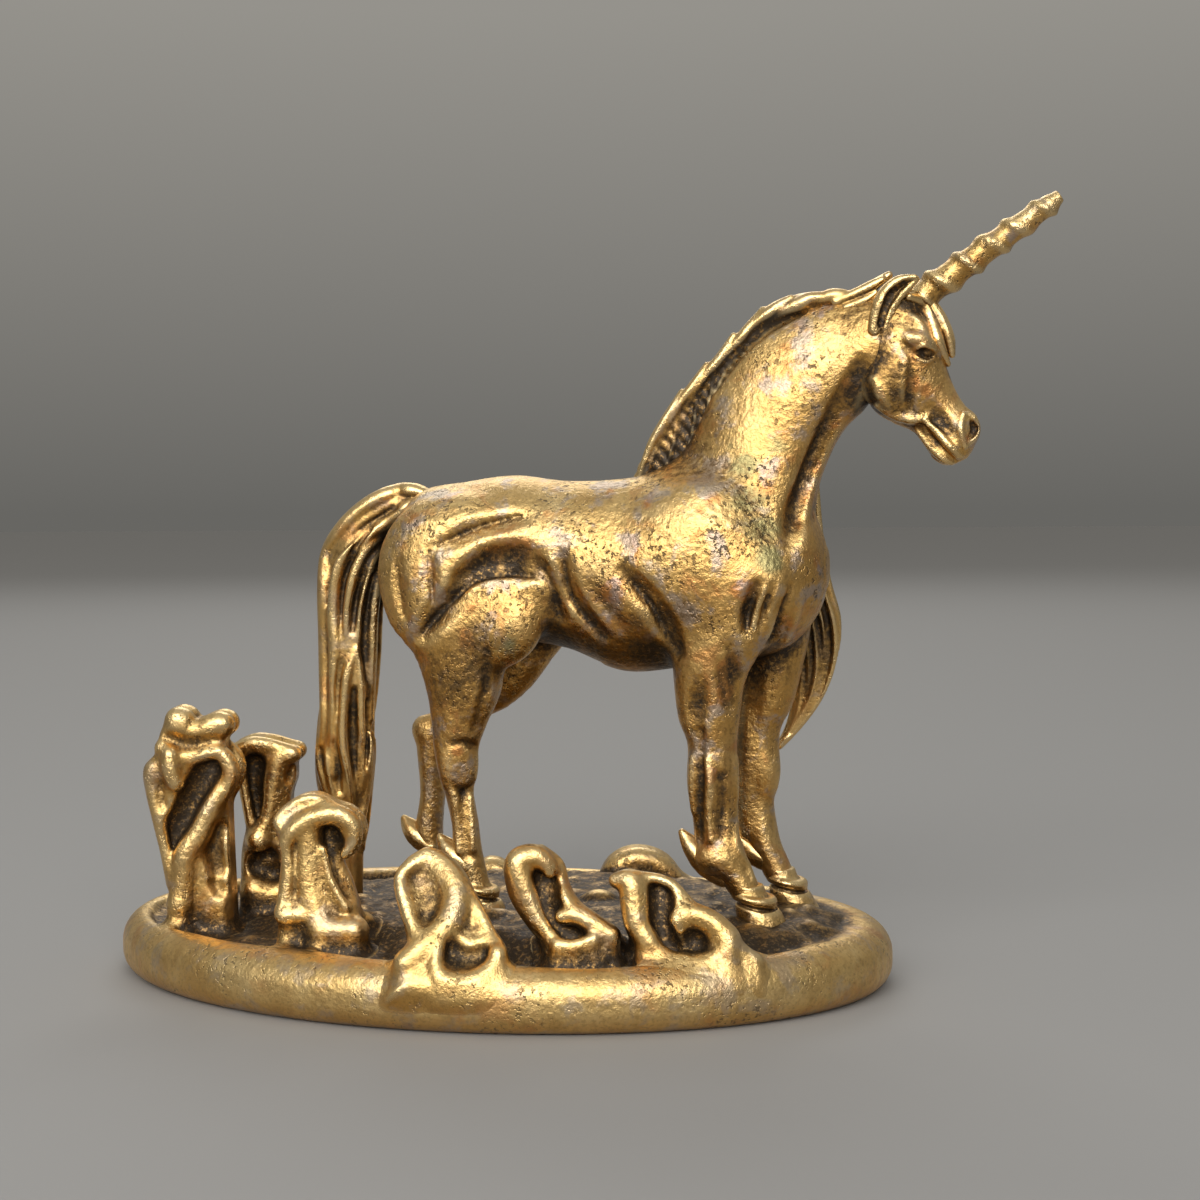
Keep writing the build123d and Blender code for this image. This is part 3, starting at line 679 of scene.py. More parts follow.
# Sections of the barrel: x, height of the middle, half height, half width.
TORSO = [
    (-7.5, 26.9, 1.5, 1.4), (-6.9, 27.1, 3.3, 3.2), (-5.0, 27.4, 5.2, 4.7), (-2.0, 27.6, 5.6, 5.2),
    (1.5, 28.0, 5.6, 5.3), (5.0, 27.6, 5.6, 5.3), (9.0, 26.9, 6.4, 5.4), (13.0, 27.4, 6.6, 5.1),
    (17.0, 27.3, 6.0, 4.6), (20.0, 27.0, 4.7, 3.9), (21.8, 27.2, 2.9, 2.6), (22.4, 27.4, 1.2, 1.2),
]
# Sections of the neck: x and z at the crest, x and z at the throat, half width.
NECK = [
    (10.6, 32.0, 20.6, 26.6, 3.6), (13.2, 35.4, 21.5, 31.2, 3.2), (14.9, 39.2, 21.8, 33.6, 2.7),
    (17.3, 42.2, 22.6, 35.2, 2.4), (20.3, 43.9, 23.8, 36.6, 2.2), (23.4, 44.7, 25.0, 37.8, 2.0),
    (25.8, 44.8, 26.2, 40.0, 1.6),
]
# Legs: side, and sections from the top: height, x, half depth, half width.
LEGS = {
    "foreleg_right": (-3.1, [
        (29.5, 16.0, 2.2, 1.2), (26.5, 16.6, 3.7, 2.1), (23.5, 16.0, 3.3, 2.1), (20.5, 15.2, 2.4, 1.9),
        (17.8, 15.1, 2.0, 1.6), (16.0, 15.3, 1.6, 1.4), (13.6, 15.3, 1.65, 1.45), (11.4, 15.4, 1.4, 1.25),
        (9.0, 15.9, 1.55, 1.35), (7.4, 16.9, 1.2, 1.2), (6.0, 17.8, 1.1, 1.15)]),
    "foreleg_left": (3.1, [
        (29.5, 16.8, 2.2, 1.2), (26.5, 17.4, 3.7, 2.1), (23.5, 18.0, 3.0, 2.1), (20.5, 18.4, 2.0, 1.8),
        (18.0, 18.1, 1.6, 1.5), (16.3, 17.6, 1.3, 1.3), (14.0, 17.5, 1.3, 1.3), (11.6, 17.4, 1.05, 1.1),
        (9.0, 17.7, 1.15, 1.2), (7.6, 18.3, 1.1, 1.1), (6.0, 19.1, 1.05, 1.1)]),
    "hindleg_right": (-3.5, [
        (30.0, -2.4, 2.4, 1.1), (27.0, -2.5, 4.3, 2.2), (24.0, -2.2, 4.2, 2.3), (21.6, -1.5, 3.1, 2.0),
        (19.2, -1.3, 2.5, 1.7), (17.2, -1.6, 1.9, 1.45), (15.2, -1.9, 1.4, 1.35), (13.2, -1.8, 1.0, 1.1),
        (10.6, -1.3, 0.9, 0.95), (8.6, -1.1, 0.95, 1.0), (6.0, -0.4, 0.85, 0.95)]),
    "hindleg_left": (3.5, [
        (30.0, -1.6, 2.4, 1.1), (27.0, -1.0, 4.3, 2.2), (24.0, 0.2, 3.7, 2.3), (21.6, 0.6, 2.6, 1.9),
        (19.4, -0.4, 2.2, 1.6), (17.6, -2.6, 2.4, 1.4), (16.2, -4.9, 1.8, 1.3), (14.8, -5.7, 1.2, 1.2),
        (11.4, -5.8, 0.9, 0.95), (8.4, -6.1, 1.0, 1.0), (6.0, -5.5, 0.85, 0.95)]),
}


# Muscles of shoulder, breast, haunch and thigh on both sides: middle, half sizes, softness, lean in degrees.
MUSCLES = [
    ((13.6, 3.4, 28.0), (3.2, 1.9, 4.8), 2.0, 25), ((17.6, 3.0, 26.6), (2.8, 1.7, 3.0), 1.0, 0),
    ((20.2, 1.9, 28.2), (1.7, 1.5, 2.6), 0.8, 0), ((-2.6, 3.5, 28.6), (4.4, 1.8, 3.4), 1.2, -20),
    ((2.0, 4.2, 23.6), (2.2, 1.6, 2.8), 1.0, 35),
]

# Lump between neck and head, and inner tendon of the far foreleg: places, sizes, softness.
THROAT_LUMP = ((25.5, 0, 41.6), (1.7, 1.9, 2.8), 0.9)
FAR_TENDON = ([(17.3, 2.4, 21.8), (16.8, 2.4, 17.5), (16.6, 2.4, 13.0), (16.7, 2.4, 9.5)],
              [0.5, 0.65, 0.65, 0.5], 0.5)

# Soft valleys and ridges of the muscles, drawn over the photograph: pixels, radius, height of the tool over
# the surface, softness. They are worked on both sides.
VALLEYS = [
    ([(437, 546), (458, 536), (480, 526), (505, 519), (526, 515)], 0.6, 0.32, 0.5),
    ([(430, 550), (431, 577), (433, 606)], 0.5, 0.36, 0.5),
    ([(397, 562), (398, 592), (405, 620)], 0.5, 0.38, 0.5),
    ([(421, 636), (437, 615), (453, 599), (470, 583), (493, 572), (517, 569), (540, 572)], 0.8, 0.25, 0.6),
    ([(465, 578), (490, 562), (515, 556), (535, 556)], 0.8, 0.45, 0.8),
    ([(540, 566), (551, 585), (557, 603), (561, 618)], 0.6, 0.34, 0.6),
    ([(563, 556), (566, 580), (576, 603), (604, 638)], 0.6, 0.25, 0.5),
    ([(590, 585), (603, 605), (622, 628)], 0.6, 0.42, 0.5),
    ([(624, 572), (640, 590), (654, 607), (666, 628), (676, 650)], 0.7, 0.25, 0.6),
    ([(861, 366), (842, 408), (823, 446), (808, 482), (797, 514), (791, 540)], 0.7, 0.3, 0.6),
    ([(640, 468), (668, 440), (690, 420), (706, 396), (722, 374), (745, 346), (770, 326), (800, 312)], 0.55,
     0.0, 0.4),
    ([(757, 586), (750, 612), (748, 630)], 0.6, 0.12, 0.4),
    ([(773, 588), (764, 612), (759, 632)], 0.45, 0.2, 0.3),
    ([(791, 588), (783, 612), (773, 640)], 0.5, 0.18, 0.4),
    ([(730, 650), (733, 675), (735, 702)], 0.8, 0.55, 0.6),
    ([(699, 684), (697, 706), (696, 730)], 0.8, 0.6, 0.6),
]
SWELLS = [
    ([(850, 384), (830, 430), (812, 476), (803, 515)], 0.45, -0.2, 0.6),
    ([(765, 590), (757, 612), (753, 630)], 0.3, -0.08, 0.3),
    ([(784, 588), (774, 614), (766, 636)], 0.3, -0.08, 0.3),
    ([(802, 592), (795, 615), (786, 640)], 0.32, -0.08, 0.3),
    ([(722, 655), (724, 676), (727, 700)], 0.28, -0.1, 0.3),
    ([(448, 606), (470, 590), (493, 581), (512, 582)], 0.5, -0.25, 0.5),
]

# Sharp creases where the muscles meet: pixels, radius.
CREASES = [
    ([(423, 634), (438, 615), (453, 600), (470, 584), (490, 576), (514, 574), (538, 577)], 0.22),
    ([(437, 546), (458, 536), (480, 527), (505, 520), (522, 516)], 0.12),
    ([(397, 566), (399, 592), (404, 617)], 0.12), ([(430, 553), (431, 577), (433, 602)], 0.12),
    ([(543, 568), (553, 590), (557, 606), (562, 620)], 0.14),
    ([(564, 560), (569, 590), (582, 612), (602, 637)], 0.16),
    ([(628, 577), (641, 592), (654, 608), (664, 627), (674, 648)], 0.18),
    ([(752, 600), (748, 615), (747, 628)], 0.2), ([(768, 596), (763, 612), (759, 630)], 0.16),
    ([(786, 596), (779, 615), (772, 636)], 0.16), ([(795, 525), (812, 476), (830, 436), (850, 390)], 0.08),
]

# Legs on the side that the camera sees: joints as pixel and half sizes, cuts beside the tendons as pixels,
# radius and height, tendons as pixels and radius.
JOINTS = [
    ((464, 767), (0.75, 0.6, 1.5)), ((447, 768), (0.5, 0.6, 1.3)), ((712, 862), (1.2, 0.9, 1.0)),
    ((767, 776), (0.7, 0.6, 1.4)), ((421, 729), (0.8, 0.7, 0.9)),
]
TENDON_CUTS = [
    ([(722, 776), (724, 792), (723, 812), (722, 836)], 0.3, 0.14),
    ([(700, 732), (701, 770), (699, 812), (700, 840)], 0.35, 0.12),
    ([(452, 744), (464, 743), (476, 747)], 0.16, 0.08),
    ([(456, 790), (464, 791), (474, 786)], 0.24, 0.06),
    ([(464, 794), (466, 825), (470, 856)], 0.3, 0.14),
    ([(487, 650), (488, 684), (483, 706), (478, 728)], 0.4, 0.24),
]
TENDONS = [
    ([(735, 758), (736, 785), (735, 812), (737, 845), (747, 864), (753, 880)], 0.22),
    ([(708, 760), (710, 785), (709, 812), (711, 840)], 0.22), ([(692, 758), (691, 785), (694, 812)], 0.2),
    ([(453, 792), (456, 825), (458, 852)], 0.2), ([(471, 797), (472, 825), (473, 850)], 0.2),
]

# Spots of the body's soot and painted shade, drawn over the photograph: pixel, radius, amount.
BODY_SOOT_AND_SHADE = [
    ((485, 570), 1.2, 0.8), ((515, 563), 1.2, 0.8), ((455, 592), 0.9, 0.7), ((433, 617), 0.9, 0.6),
    ((555, 600), 1.1, 0.5), ((590, 620), 1.3, 0.5), ((640, 620), 1.6, 0.6), ((520, 600), 1.0, 0.5),
    ((747, 612), 1.2, 0.8), ((770, 600), 1.2, 0.5), ((720, 700), 3.5, 0.15), ((460, 680), 3.8, 0.35),
    ((475, 640), 2.4, 0.2), ((465, 820), 3.0, 0.2), ((715, 790), 3.5, 0.2), ((700, 765), 0.8, 0.6),
    ((700, 780), 0.8, 0.7), ((700, 795), 0.8, 0.7), ((700, 810), 0.8, 0.7), ((700, 826), 0.8, 0.7),
    ((723, 775), 0.9, 0.6), ((724, 790), 0.9, 0.6), ((723, 812), 0.8, 0.4), ((464, 740), 1.6, 0.4),
    ((455, 742), 1.4, 0.4), ((462, 790), 1.2, 0.6), ((733, 672), 1.2, 0.5), ((698, 700), 1.4, 0.4),
    ((655, 455), 1.3, 0.8), ((680, 432), 1.3, 0.8), ((700, 405), 1.2, 0.9), ((716, 382), 1.0, 0.9),
    ((735, 357), 0.9, 0.8), ((868, 385), 1.8, 1.3), ((864, 400), 1.8, 1.4), ((600, 650), 2.6, 0.5),
    ((560, 640), 2.4, 0.5), ((640, 650), 2.4, 0.5), ((830, 400), 0.8, 0.3), ((682, 607), 1.6, 0.4),
    ((800, 375), 2.4, 0.3), ((785, 415), 2.4, 0.3), ((745, 500), 2.0, 0.25), ((762, 540), 1.6, 0.3),
]
BODY_BLUSH = [
    ((712, 500), 1.2, 0.8), ((702, 510), 1.0, 0.8), ((743, 592), 1.2, 0.9), ((612, 590), 1.2, 0.8),
    ((730, 668), 1.2, 0.9), ((727, 690), 1.0, 0.8), ((850, 385), 0.9, 0.6), ((833, 425), 0.9, 0.7),
    ((816, 465), 1.0, 0.8), ((806, 495), 1.0, 0.8), ((797, 525), 1.0, 0.8), ((520, 550), 1.2, 0.9),
    ((495, 556), 1.0, 0.8), ((468, 606), 1.0, 0.6), ((467, 640), 1.2, 0.6), ((710, 775), 0.9, 0.8),
    ((790, 370), 1.0, 0.5), ((763, 490), 1.1, 0.6), ((457, 750), 0.8, 0.7),
]
# Painted olive reflection on the neck and flank: pixel, radius, amount.
BODY_OLIVE = [
    ((742, 470), 2.2, 0.9), ((752, 498), 2.2, 1.0), ((762, 528), 2.0, 1.0), ((768, 556), 1.8, 0.9),
    ((735, 446), 1.6, 0.6), ((778, 440), 1.6, 0.6), ((506, 640), 1.6, 0.5),
]

# Painted shade between the forelegs, as a dark strip: x and side, heights, radius and amount of its spots.
BETWEEN_FORELEGS = (16.3, 1.8)
STRIP_HEIGHTS = np.arange(9.4, 21.5, 0.6)
STRIP_SPOT = (1.0, 1.2)

# How far the middle of a joint lies under the surface.
JOINT_SINK = np.array([0, 0.62, 0])

# A tool line is repeated on the far side where the surface there lies about as far out as on the near side.
FAR_SIDE_SLACK = 2.5


def tool_paths(wax, line):
    """Path under pixels with its way out, on the near side, and on the far side where it fits there."""
    near = wax.seen(line)
    far = wax.mirrored(near)
    paths = [(near, -1)]
    if np.abs(far[:, 1] + near[:, 1]).max() <= FAR_SIDE_SLACK:
        paths.append((far, 1))
    return paths


def thin_ends(count, radius, share):
    """Radii of a tool line that is thinner at both ends."""
    radii = np.full(count, radius)
    radii[[0, -1]] = share * radius
    return radii


def model_body():
    """Barrel, neck and legs with their muscles."""
    wax = Wax((-9.0, -7.4, 5.2), (28.0, 7.4, 46.4), voxel=0.19)
    wax.form([(x, z + high, x, z - high, 0, wide) for x, z, high, wide in TORSO], soft=0.5)
    wax.form([(cx, cz, tx, tz, 0, wide) for cx, cz, tx, tz, wide in NECK], soft=1.6, egg=-0.25)
    for side, stations in LEGS.values():
        wax.form([(x + deep, z, x - deep, z, side, wide) for z, x, deep, wide in stations], soft=1.2)

    for way in (-1, 1):
        for (x, side, z), halves, soft, lean in MUSCLES:
            wax.ball((x, side * way, z), halves, soft, lean=lean)
    wax.ball(*THROAT_LUMP)
    wax.rod(*FAR_TENDON)

    for lines, carve in ((VALLEYS, True), (SWELLS, False)):
        for line, radius, height, soft in lines:
            for path, way in tool_paths(wax, line):
                path = path + np.array([0.0, way * height, 0.0])
                wax.rod(path, thin_ends(len(path), radius, 0.6), soft, carve)
    for line, radius in CREASES:
        for path, _ in tool_paths(wax, line):
            wax.rod(path, thin_ends(len(path), radius, 0.4), soft=0.2, carve=True)

    # Knees, hocks, tendons and pasterns.
    for at, halves in JOINTS:
        wax.ball(wax.seen([at])[0] + JOINT_SINK, halves, soft=0.7)
    for line, radius, height in TENDON_CUTS:
        near = wax.seen(line) + np.array([0, -height, 0])
        wax.rod(near, 0.8 * radius, soft=0.3, carve=True)
    for line, radius in TENDONS:
        wax.rod(wax.seen(line), radius, soft=0.3)

    # Spots of soot and painted shade, a strip of painted shade between the forelegs, coppery spots and spots
    # of painted olive reflection.
    BODY_SPOTS.extend(wax.spots(BODY_SOOT_AND_SHADE))
    BODY_SPOTS.extend([((*BETWEEN_FORELEGS, z), *STRIP_SPOT) for z in STRIP_HEIGHTS])
    BLUSH["body"] = wax.spots(BODY_BLUSH)
    OLIVE["body"] = wax.spots(BODY_OLIVE)
    return wax


# Painted shade of the legs and belly, darker towards the bottom: height where it begins, height over which it
# grows, amount. Soot all over the body.
LEGS_TOP = 25.0
LEGS_FADE = 5.0
LEGS_SHADE = 0.3
EVEN_SOOT = 0.1


def body_soot_and_leg_shade(place):
    """Soot and painted shade of the body: its spots, soot all over, and painted shade that darkens the legs
    and the belly towards the bottom.
    """
    low = np.clip((LEGS_TOP - place[:, 2]) / LEGS_FADE, 0, 1)
    return spotted(place, BODY_SPOTS) + LEGS_SHADE * low + EVEN_SOOT


SOOT_AND_SHADE["body"] = body_soot_and_leg_shade
pour("body", model_body(), FIGURE_BRASS,
     ["torso", "neck", "foreleg_right", "foreleg_left", "hindleg_right", "hindleg_left"])


# Head.

# Poll as x and z, slope of the face, and sections down it: station, front, jaw, half width.
POLL = (26.3, 44.6)
FACE = math.radians(64.0)
HEAD = [
    (-0.6, 1.0, -1.0, 0.8), (0.4, 1.8, -2.2, 1.6), (2.2, 1.9, -3.1, 2.1), (4.2, 1.7, -3.8, 2.3),
    (5.9, 1.4, -3.9, 2.0), (7.2, 1.3, -3.2, 1.6), (8.3, 1.4, -2.3, 1.35), (9.3, 1.75, -2.05, 1.5),
    (10.4, 1.4, -1.9, 1.4), (11.1, 0.6, -1.5, 1.0), (11.4, 0.1, -1.0, 0.4),
]


def on_face(station, forward, side=0.0):
    """Point of the head: distance down the face, forward of its line, and to the side."""
    return (POLL[0] + station * math.cos(FACE) + forward * math.sin(FACE), side,
            POLL[1] - station * math.sin(FACE) + forward * math.cos(FACE))


# Features drawn over the photograph: pixels, radius, height over the surface, softness; both sides get them.
FACE_HOLLOWS = [
    ([(913, 362), (912, 385), (910, 408)], 0.35, 0.18, 0.3),
    ([(934, 410), (943, 424), (953, 438)], 0.6, 0.42, 0.5),
    ([(905, 345), (914, 356)], 0.4, 0.2, 0.3),
    ([(918, 352), (926, 354), (934, 357)], 0.36, 0.14, 0.2),
    ([(898, 316), (910, 322), (920, 330)], 0.5, 0.32, 0.4),
]
FACE_LUMPS = [
    ([(910, 338), (919, 339), (930, 344), (937, 352)], 0.26, -0.12, 0.5),
    ([(925, 353), (927, 354)], 0.36, 0.0, 0.06),
    ([(915, 350), (924, 345), (935, 350)], 0.16, 0.04, 0.08),
    ([(916, 357), (926, 362), (935, 358)], 0.14, 0.04, 0.08),
    ([(875, 380), (881, 394), (889, 407)], 0.3, -0.12, 0.5),
    ([(878, 406), (893, 415), (911, 420), (926, 418)], 0.26, 0.05, 0.4),
    ([(924, 420), (938, 433), (951, 448), (961, 457)], 0.24, 0.02, 0.2),
    ([(917, 430), (930, 446), (943, 459), (952, 463)], 0.24, 0.02, 0.2),
    ([(963, 414), (972, 416), (977, 427), (974, 438), (965, 447)], 0.2, 0.0, 0.2),
    ([(963, 414), (961, 430), (965, 447)], 0.2, 0.0, 0.2),
]
FACE_SLITS = [
    ([(919, 424), (934, 440), (948, 455), (957, 462)], 0.15, 0.02, 0.1),
    ([(914, 434), (926, 450), (938, 461)], 0.12, 0.04, 0.1),
    ([(972, 423), (974, 429), (971, 436)], 0.3, -0.04, 0.08),
]

# Spots of the head's soot and painted shade: pixel, radius, amount.
HEAD_SOOT_AND_SHADE = [
    ((882, 360), 1.6, 0.9), ((897, 372), 1.4, 0.9), ((898, 392), 1.4, 0.9), ((872, 402), 2.0, 1.7),
    ((945, 425), 1.4, 0.6), ((908, 300), 1.5, 1.3), ((918, 315), 1.1, 1.3), ((926, 354), 0.6, 0.4),
    ((950, 374), 0.9, 1.1), ((885, 330), 1.2, 0.6), ((930, 450), 1.3, 0.9), ((870, 375), 1.7, 1.2),
    ((973, 429), 0.5, 0.8), ((886, 410), 1.0, 0.4),
]
HEAD_BLUSH = [((914, 385), 0.8, 0.9), ((880, 395), 0.7, 0.9), ((925, 390), 0.9, 0.5), ((966, 440), 0.6, 0.8)]


def model_head():
    """Head with jaws, brows, eyes, nostrils and mouth."""
    wax = Wax((22.5, -3.2, 33.2), (33.4, 3.2, 47.0), voxel=0.1)
    rows = []
    for s, front, jaw, wide in HEAD:
        a, b = on_face(s, front), on_face(s, jaw)
        rows.append((a[0], a[2], b[0], b[2], 0, wide))
    wax.form(rows, soft=0.2)
    for way in (-1, 1):
        wax.ball(on_face(4.9, -2.2, 1.15 * way), (1.9, 1.05, 1.7), soft=0.6)
        wax.ball(on_face(3.0, 0.6, 1.45 * way), (1.3, 0.75, 0.9), soft=0.5, lean=64)

    for lines, carve in ((FACE_HOLLOWS, True), (FACE_LUMPS, False), (FACE_SLITS, True)):
        for line, radius, height, soft in lines:
            near = wax.seen(line)
            for path, way in ((near, -1), (near * FLIP, 1)):
                path = path + np.array([0, way * height, 0])
                wax.rod(path, thin_ends(len(path), radius, 0.6), soft, carve)
    SOOT_AND_SHADE["head"] = wax.spots(HEAD_SOOT_AND_SHADE)
    BLUSH["head"] = wax.spots(HEAD_BLUSH)
    return wax


head_wax = model_head()
pour("head", head_wax, FIGURE_BRASS, ["head"])


# Ears.

# Side distance of an ear, its rims over the photograph in pixels, and the steps along them.
EAR_SIDE = 1.9
EAR_RIM = [(874, 330), (878, 311), (886, 293), (899, 281), (915, 277)]
EAR_CUP = [(885, 328), (890, 312), (898, 298), (909, 287), (917, 279)]
EAR_STEPS = 13

# Radii of an ear's web, rim, cup and hollow: steps along it, and the radius there.
EAR_WEB_RADII = ([0, 5, 12], [0.34, 0.32, 0.14])
EAR_RIM_RADII = ([0, 4, 9, 12], [0.42, 0.52, 0.36, 0.16])
EAR_CUP_RADII = ([0, 6, 12], [0.2, 0.24, 0.14])
EAR_HOLLOW_RADII = ([0, 5, 10], [0.22, 0.36, 0.12])


def model_ear(name, way):
    """Cupped ear on one side: way is -1 for the near one."""
    wax = Wax((24.6, -3.0 if way < 0 else 0.6, 41.2), (30.4, -0.6 if way < 0 else 3.0, 47.2), voxel=0.07)
    turned = np.array([1, -way, 1])
    rim, cup = on_plane(EAR_RIM, -EAR_SIDE) * turned, on_plane(EAR_CUP, -EAR_SIDE) * turned
    inward = np.array([0, -way, 0])
    rim, cup = run_through(rim, EAR_STEPS), run_through(cup, EAR_STEPS)
    step = np.arange(EAR_STEPS)
    for k, (a, b) in enumerate(zip(rim, cup)):
        thin = np.interp(k, *EAR_WEB_RADII)
        wax.rod([a + 0.15 * inward, (a + b) / 2 + 0.4 * inward, b + 0.2 * inward], thin, soft=0.1)
    wax.rod(rim, np.interp(step, *EAR_RIM_RADII), soft=0.15)
    wax.rod(cup + 0.1 * inward, np.interp(step, *EAR_CUP_RADII), soft=0.12)
    hollow = (0.45 * rim + 0.55 * cup - 0.3 * inward)[1:-1]
    wax.rod(hollow, np.interp(step[:-2], *EAR_HOLLOW_RADII), soft=0.1, carve=True)
    SOOT_AND_SHADE[name] = [(p, 0.6, 1.0) for p in hollow[::2]]
    return wax


for name, way in (("ear_right", -1), ("ear_left", 1)):
    pour(name, model_ear(name, way), FIGURE_BRASS, [name])


# Hair: strands laid round a path by one node tree.

def tree_input(tree, name, kind, value=None):
    """Named input of a geometry tree."""
    socket = tree.interface.new_socket(name, in_out="INPUT", socket_type=kind)
    if value is not None:
        socket.default_value = value
    return socket.identifier


def strand_tree():
    """Strands round paths: each path carries deep and wide vectors and a strand thickness at its points."""
    tree = bpy.data.node_groups.new("strands_round_path", "GeometryNodeTree")
    ids = {
        "Geometry": tree_input(tree, "Geometry", "NodeSocketGeometry"),
        "Strands": tree_input(tree, "Strands", "NodeSocketInt", 8),
        "Twist": tree_input(tree, "Twist", "NodeSocketFloat", 0.0),
        "Wander": tree_input(tree, "Wander", "NodeSocketFloat", 0.0),
        "Fillers": tree_input(tree, "Fillers", "NodeSocketInt", 5),
        "Voxel": tree_input(tree, "Voxel", "NodeSocketFloat", 0.12),
        "Seed": tree_input(tree, "Seed", "NodeSocketInt", 1),
        "Smooth": tree_input(tree, "Smooth", "NodeSocketInt", 4),
        "Material": tree_input(tree, "Material", "NodeSocketMaterial"),
    }
    tree.interface.new_socket("Geometry", in_out="OUTPUT", socket_type="NodeSocketGeometry")
    given = wire(tree, "NodeGroupInput").outputs

    def calc(kind, a, b):
        return wire(tree, "ShaderNodeMath", {0: a, 1: b}, operation=kind).outputs[0]

    def carried(name, kind):
        return wire(tree, "GeometryNodeInputNamedAttribute", {"Name": name},
                    data_type=kind).outputs["Attribute"]

    def stretch(vector, amount):
        return wire(tree, "ShaderNodeVectorMath", {0: vector, "Scale": amount}, operation="SCALE").outputs[0]

    path = wire(tree, "GeometryNodeMeshToCurve", {"Mesh": given["Geometry"]}).outputs["Curve"]
    path = wire(tree, "GeometryNodeResampleCurve", {"Curve": path, "Count": 160}).outputs["Curve"]
    deep, wide = carried("deep", "FLOAT_VECTOR"), carried("wide", "FLOAT_VECTOR")
    thick = carried("thick", "FLOAT")
    copies = wire(tree, "GeometryNodeDuplicateElements", {"Geometry": path, "Amount": given["Strands"]},
                  domain="SPLINE")
    number = copies.outputs["Duplicate Index"]
    along = wire(tree, "GeometryNodeSplineParameter").outputs["Factor"]
    turn = calc("DIVIDE", calc("MULTIPLY", number, 2 * math.pi), given["Strands"])
    turn = calc("ADD", turn, calc("MULTIPLY", given["Twist"], along))
    spot = wire(tree, "ShaderNodeCombineXYZ", {"X": calc("MULTIPLY", number, 7.31),
                                               "Y": calc("MULTIPLY", along, 3.0),
                                               "Z": given["Seed"]}).outputs[0]
    drift = wire(tree, "ShaderNodeTexNoise", {"Vector": spot, "Scale": 1.0, "Detail": 1.0}).outputs["Fac"]
    turn = calc("ADD", turn, calc("MULTIPLY", given["Wander"], calc("SUBTRACT", drift, 0.5)))
    lift = wire(tree, "ShaderNodeTexNoise", {"Vector": spot, "Scale": 2.3, "Detail": 1.0}).outputs["Fac"]
    lift = calc("ADD", calc("MULTIPLY", lift, 0.3), 0.80)
    offset = wire(tree, "ShaderNodeVectorMath", {
        0: stretch(deep, calc("MULTIPLY", lift, calc("COSINE", turn, 0.0))),
        1: stretch(wide, calc("MULTIPLY", lift, calc("SINE", turn, 0.0)))}, operation="ADD").outputs[0]
    strands = wire(tree, "GeometryNodeSetPosition", {"Geometry": copies.outputs["Geometry"],
                                                     "Offset": offset})
    beads = wire(tree, "GeometryNodeCurveToPoints", {"Curve": strands.outputs["Geometry"]},
                 mode="EVALUATED").outputs["Points"]
    beads = wire(tree, "GeometryNodeSetPointRadius", {"Points": beads, "Radius": thick}).outputs["Points"]

    # Fillers lie side by side across the lock, under the strands.
    inner = wire(tree, "GeometryNodeDuplicateElements", {"Geometry": path, "Amount": given["Fillers"]},
                 domain="SPLINE")
    share = calc("DIVIDE", inner.outputs["Duplicate Index"], calc("SUBTRACT", given["Fillers"], 1.0))
    share = calc("SUBTRACT", calc("MULTIPLY", share, 1.7), 0.85)
    inner = wire(tree, "GeometryNodeSetPosition", {"Geometry": inner.outputs["Geometry"],
                                                   "Offset": stretch(wide, share)})
    inner = wire(tree, "GeometryNodeCurveToPoints", {"Curve": inner.outputs["Geometry"]},
                 mode="EVALUATED").outputs["Points"]
    flat = wire(tree, "ShaderNodeVectorMath", {0: deep}, operation="LENGTH").outputs["Value"]
    flat = calc("ADD", flat, calc("MULTIPLY", thick, 0.45))
    inner = wire(tree, "GeometryNodeSetPointRadius", {"Points": inner, "Radius": flat}).outputs["Points"]
    join = wire(tree, "GeometryNodeJoinGeometry")
    tree.links.new(beads, join.inputs[0])
    tree.links.new(inner, join.inputs[0])
    swelled = calc("ADD", wire(tree, "GeometryNodeInputRadius").outputs[0],
                   calc("MULTIPLY", given["Voxel"], 0.4))
    cloud = wire(tree, "GeometryNodePointsToVolume", {"Points": join.outputs[0], "Voxel Size": given["Voxel"],
                                                      "Radius": swelled}, resolution_mode="VOXEL_SIZE")
    skin = wire(tree, "GeometryNodeVolumeToMesh", {"Volume": cloud.outputs[0], "Threshold": 0.12},
                resolution_mode="GRID").outputs["Mesh"]
    place = wire(tree, "GeometryNodeInputPosition").outputs[0]
    eased = wire(tree, "GeometryNodeBlurAttribute", {"Iterations": given["Smooth"]}, data_type="FLOAT_VECTOR")
    tree.links.new(place, next(s for s in eased.inputs if s.type == "VECTOR"))
    eased = next(s for s in eased.outputs if s.type == "VECTOR")
    skin = wire(tree, "GeometryNodeSetPosition", {"Geometry": skin, "Position": eased}).outputs["Geometry"]
    skin = wire(tree, "GeometryNodeTransform", {"Geometry": skin, "Scale": (MM, MM, MM)}).outputs["Geometry"]
    skin = wire(tree, "GeometryNodeRealizeInstances", {"Geometry": skin}).outputs["Geometry"]
    skin = wire(tree, "GeometryNodeSetMaterial", {"Geometry": skin,
                                                  "Material": given["Material"]}).outputs["Geometry"]
    wire(tree, "NodeGroupOutput", {"Geometry": skin})
    return tree, ids


STRANDS, STRAND_IDS = strand_tree()


